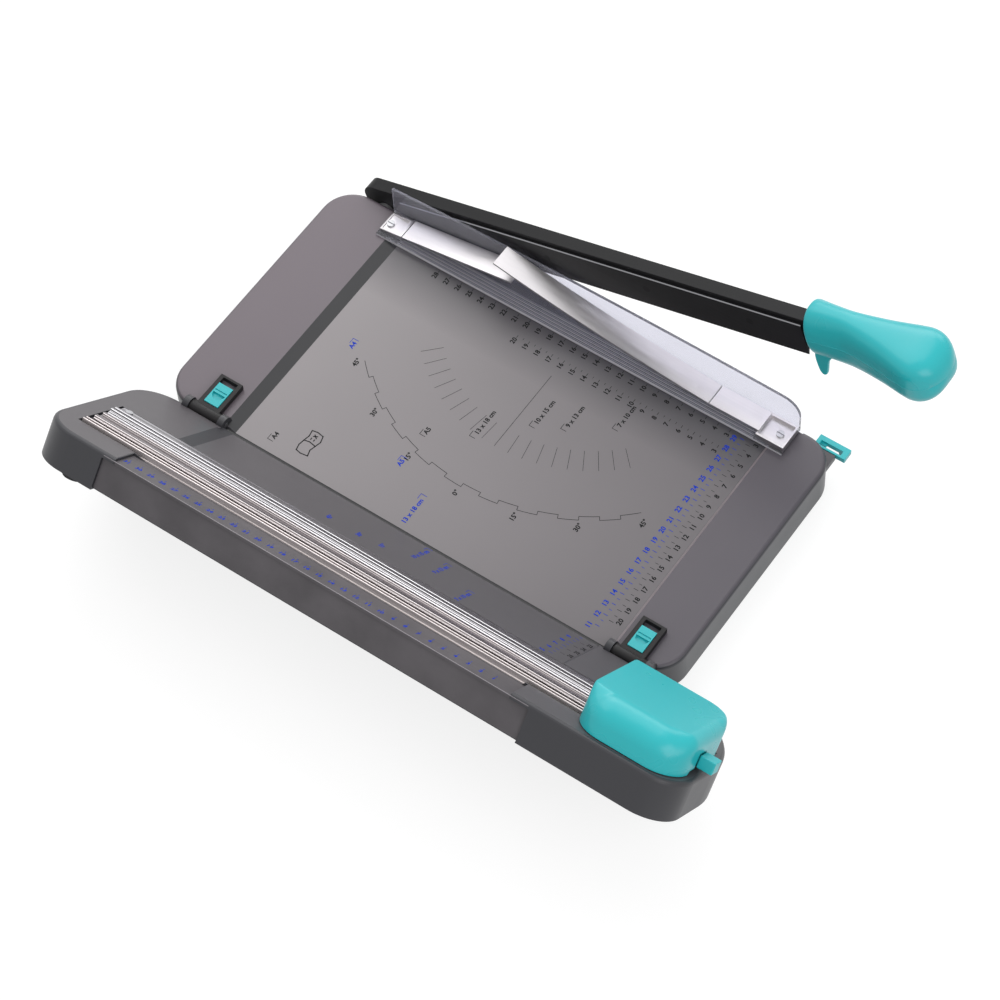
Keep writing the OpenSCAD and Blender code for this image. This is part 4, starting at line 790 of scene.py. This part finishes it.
# Two centimetre rows along the clamp, counted from the stop
ROW_Y, SHORT_ROW_Y = 79.0, 63.0
for n in range(3, 29):
    x = STOP_X - CM * n
    black.text(str(n), (x - 0.2, ROW_Y), FIGURE)
    black.bar((x, ROW_Y + 3.0), (x, ROW_Y + 4.8))
    if n <= 20:
        black.text(str(n), (x - 0.2, SHORT_ROW_Y), FIGURE)
        black.bar((x, SHORT_ROW_Y + 3.2), (x, SHORT_ROW_Y + 5.4))
        black.bar((x + HALF_CM, SHORT_ROW_Y + 4.0), (x + HALF_CM, SHORT_ROW_Y + 5.4), FINE)


def polar(centre, r, deg, way):
    """Point at a distance and an angle from a centre, towards the near (-1) or far (1) side."""
    a = math.radians(deg)
    return centre + Vector((r * math.sin(a), way * r * math.cos(a)))


# Protractor about a point on the cutting edge: a stepped rim, and a line every five degrees
CENTRE, RIM_R, LABEL_R = Vector((10.0, 108.5)), (164.0, 167.0), 173
RAY_R, MIDDLE_RAY_R = (110.3, 126.5), (56, 126.5)
RAYS, RAY_TURN = range(-9, 10), 5
rim = []
for k in RAYS[:-1]:
    rim += [polar(CENTRE, RIM_R[k % 2], RAY_TURN * k + t, -1) for t in (0, 1.7, 3.4, 5)]
black.path(rim, THICK)
for k in RAYS:
    inner, outer = (polar(CENTRE, r, RAY_TURN * k, -1) for r in (RAY_R if k else MIDDLE_RAY_R))
    black.bar(inner, outer, FINE if k else LINE)
for deg in range(-45, 46, 15):
    black.text("%d°" % abs(deg), polar(CENTRE, LABEL_R, deg, -1), FIGURE)

# Paper formats: corner marks with their sizes, for the lever in black and for the rotary cut in blue
FORMATS = (
    ("A4", 297, 210), ("A5", 210, 148), ("13 x 18 cm", 180, 130),
    ("10 x 15 cm", 150, 100), ("9 x 13 cm", 130, 90), ("7 x 10 cm", 100, 70),
)
CORNER, LETTER = 4.5, 2.5
BOARD_FROM_Y, TABLE_TO_Y = -100.0, -112.0


def corner_mark(sheet, name, x, y, way):
    sheet.path([(x + CORNER, y), (x, y), (x, y + way * CORNER)], THICK)
    sheet.text(name, (x + 3.2, y + way * (2.5 + LETTER / 2 * len(name))), LABEL)


for name, length, width in FORMATS:
    x, y = STOP_X - length, CUT_Y + width
    corner_mark(black, name, x, EDGE_Y - width, 1)
    if y > BOARD_FROM_Y:
        corner_mark(blue, name, x, y, -1)
    else:
        corner_mark(table_blue, name, x, min(y, TABLE_TO_Y), -1)

# Small open-page sign
PAGE = Vector((-103.0, -87.5))
PAGE_LINES = (
    ((-1.2, 0), (3.0, 0.9), (8.6, 0)),
    ((8.6, 0), (9.8, 4.6), (8.4, 9.6), (3.2, 10.4), (-1.0, 9.6), (-0.2, 4.8), (-1.2, 0)),
    ((8.6, 0), (7.4, -4.6), (8.8, -9.4), (3.2, -10.2), (-1.0, -9.4), (-2.0, -4.8), (-1.2, 0)),
    ((2.4, 3.0), (2.4, 4.2)), ((2.6, 6.0), (5.2, 7.4)), ((5.4, 5.6), (2.8, 7.6)), ((5.0, 3.0), (5.0, 4.0)),
)
for line in PAGE_LINES:
    black.path([PAGE + Vector(p) for p in line], SIGN)

# Angle marks on the table
TABLE_CENTRE = Vector((20.0, CUT_Y))
for deg, r in ((-45, 84), (-30, 68), (-15, 64)):
    table_blue.text("%d°" % -deg, polar(TABLE_CENTRE, r, deg, 1), LABEL)

# Centimetre row on the ruler strip
STRIP_ZERO_X, STRIP_Y = 157.0, -238.4
for n in range(1, 32):
    x = STRIP_ZERO_X - CM * n
    table_blue.text(str(n), (x, STRIP_Y), LABEL, turn=0)
    table_blue.bar((x, STRIP_Y + 5.4), (x, STRIP_Y + 3.4))

for sheet in (black, blue, table_black, table_blue):
    sheet.done()


# Stage, light and camera, in metres

FLOOR_HALF, FLOOR_GREY, FLOOR_GLOW = 6.0, 0.3, 0.78
WORLD_LIGHT, WORLD_SEEN = 0.72, 1.0
AIM, DISTANCE, LENS = Vector((0.039, -0.0525, 0.029)), 2.399, 124.94
AZIMUTH, ELEVATION, ROLL = (math.radians(v) for v in (38.57, 57.65, -4.33))


def area(name, at, aim, size, watts):
    lamp = bpy.data.lights.new(name, "AREA")
    lamp.shape = "RECTANGLE"
    lamp.size, lamp.size_y = size
    lamp.energy = watts
    obj = shown(name, lamp)
    obj.location = at
    obj.rotation_euler = (Vector(aim) - Vector(at)).to_track_quat("-Z", "Y").to_euler()


def white_for_eye(nt):
    """1 for what the eye, metal and glass see, 0 for the light that falls on the object."""
    path = nt.nodes.new("ShaderNodeLightPath").outputs
    seen = combine(nt, "MAXIMUM", path["Is Camera Ray"], path["Is Glossy Ray"])
    return combine(nt, "MAXIMUM", seen, path["Is Transmission Ray"])


def make_floor():
    mesh = bpy.data.meshes.new("floor")
    s = FLOOR_HALF
    mesh.from_pydata([(-s, -s, 0), (s, -s, 0), (s, s, 0), (-s, s, 0)], [], [(0, 1, 2, 3)])
    mat, nt, bsdf = tree("floor_white")
    bsdf.inputs["Base Color"].default_value = (FLOOR_GREY, FLOOR_GREY, FLOOR_GREY, 1)
    bsdf.inputs["Roughness"].default_value = 0.9
    bsdf.inputs["Specular IOR Level"].default_value = 0.0
    glow = nt.nodes.new("ShaderNodeEmission")
    nt.links.new(remap(nt, white_for_eye(nt), 0, FLOOR_GLOW, 0, 1), glow.inputs["Strength"])
    add = nt.nodes.new("ShaderNodeAddShader")
    nt.links.new(bsdf.outputs[0], add.inputs[0])
    nt.links.new(glow.outputs[0], add.inputs[1])
    out = next(n for n in nt.nodes if n.type == "OUTPUT_MATERIAL")
    nt.links.new(add.outputs[0], out.inputs[0])
    mesh.materials.append(mat)
    shown("floor", mesh)


def make_world():
    world = bpy.data.worlds.new("studio")
    world.use_nodes = True
    nt = world.node_tree
    nt.nodes.clear()
    out = nt.nodes.new("ShaderNodeOutputWorld")
    back = nt.nodes.new("ShaderNodeBackground")
    nt.links.new(remap(nt, white_for_eye(nt), WORLD_LIGHT, WORLD_SEEN, 0, 1), back.inputs["Strength"])
    nt.links.new(back.outputs[0], out.inputs[0])
    bpy.context.scene.world = world


def make_camera():
    level = Vector((-math.sin(AZIMUTH), math.cos(AZIMUTH), 0)) * math.cos(ELEVATION)
    look = level - Vector((0, 0, math.sin(ELEVATION)))
    right = Vector((math.cos(AZIMUTH), math.sin(AZIMUTH), 0))
    up = right.cross(look)
    rolled_right = right * math.cos(ROLL) + up * math.sin(ROLL)
    rolled_up = up * math.cos(ROLL) - right * math.sin(ROLL)
    data = bpy.data.cameras.new("camera")
    data.lens = LENS
    data.sensor_width = 36.0
    data.sensor_fit = "HORIZONTAL"
    data.clip_end = 20.0
    turn = Matrix((rolled_right, rolled_up, -look)).transposed().to_4x4()
    obj = shown("camera", data)
    obj.matrix_world = Matrix.Translation(AIM - look * DISTANCE) @ turn
    bpy.context.scene.camera = obj


make_floor()
make_world()
make_camera()
area("key", (-1.0, 0.85, 1.65), (0, 0, 0), (2.3, 1.9), 18)
area("fill", (1.3, -0.6, 1.3), (0, 0, 0), (1.3, 1.3), 10)
area("rim", (-0.45, 1.75, 0.95), (0.1, 0, 0.05), (1.9, 0.9), 11)
bpy.context.scene.view_settings.view_transform = "Standard"
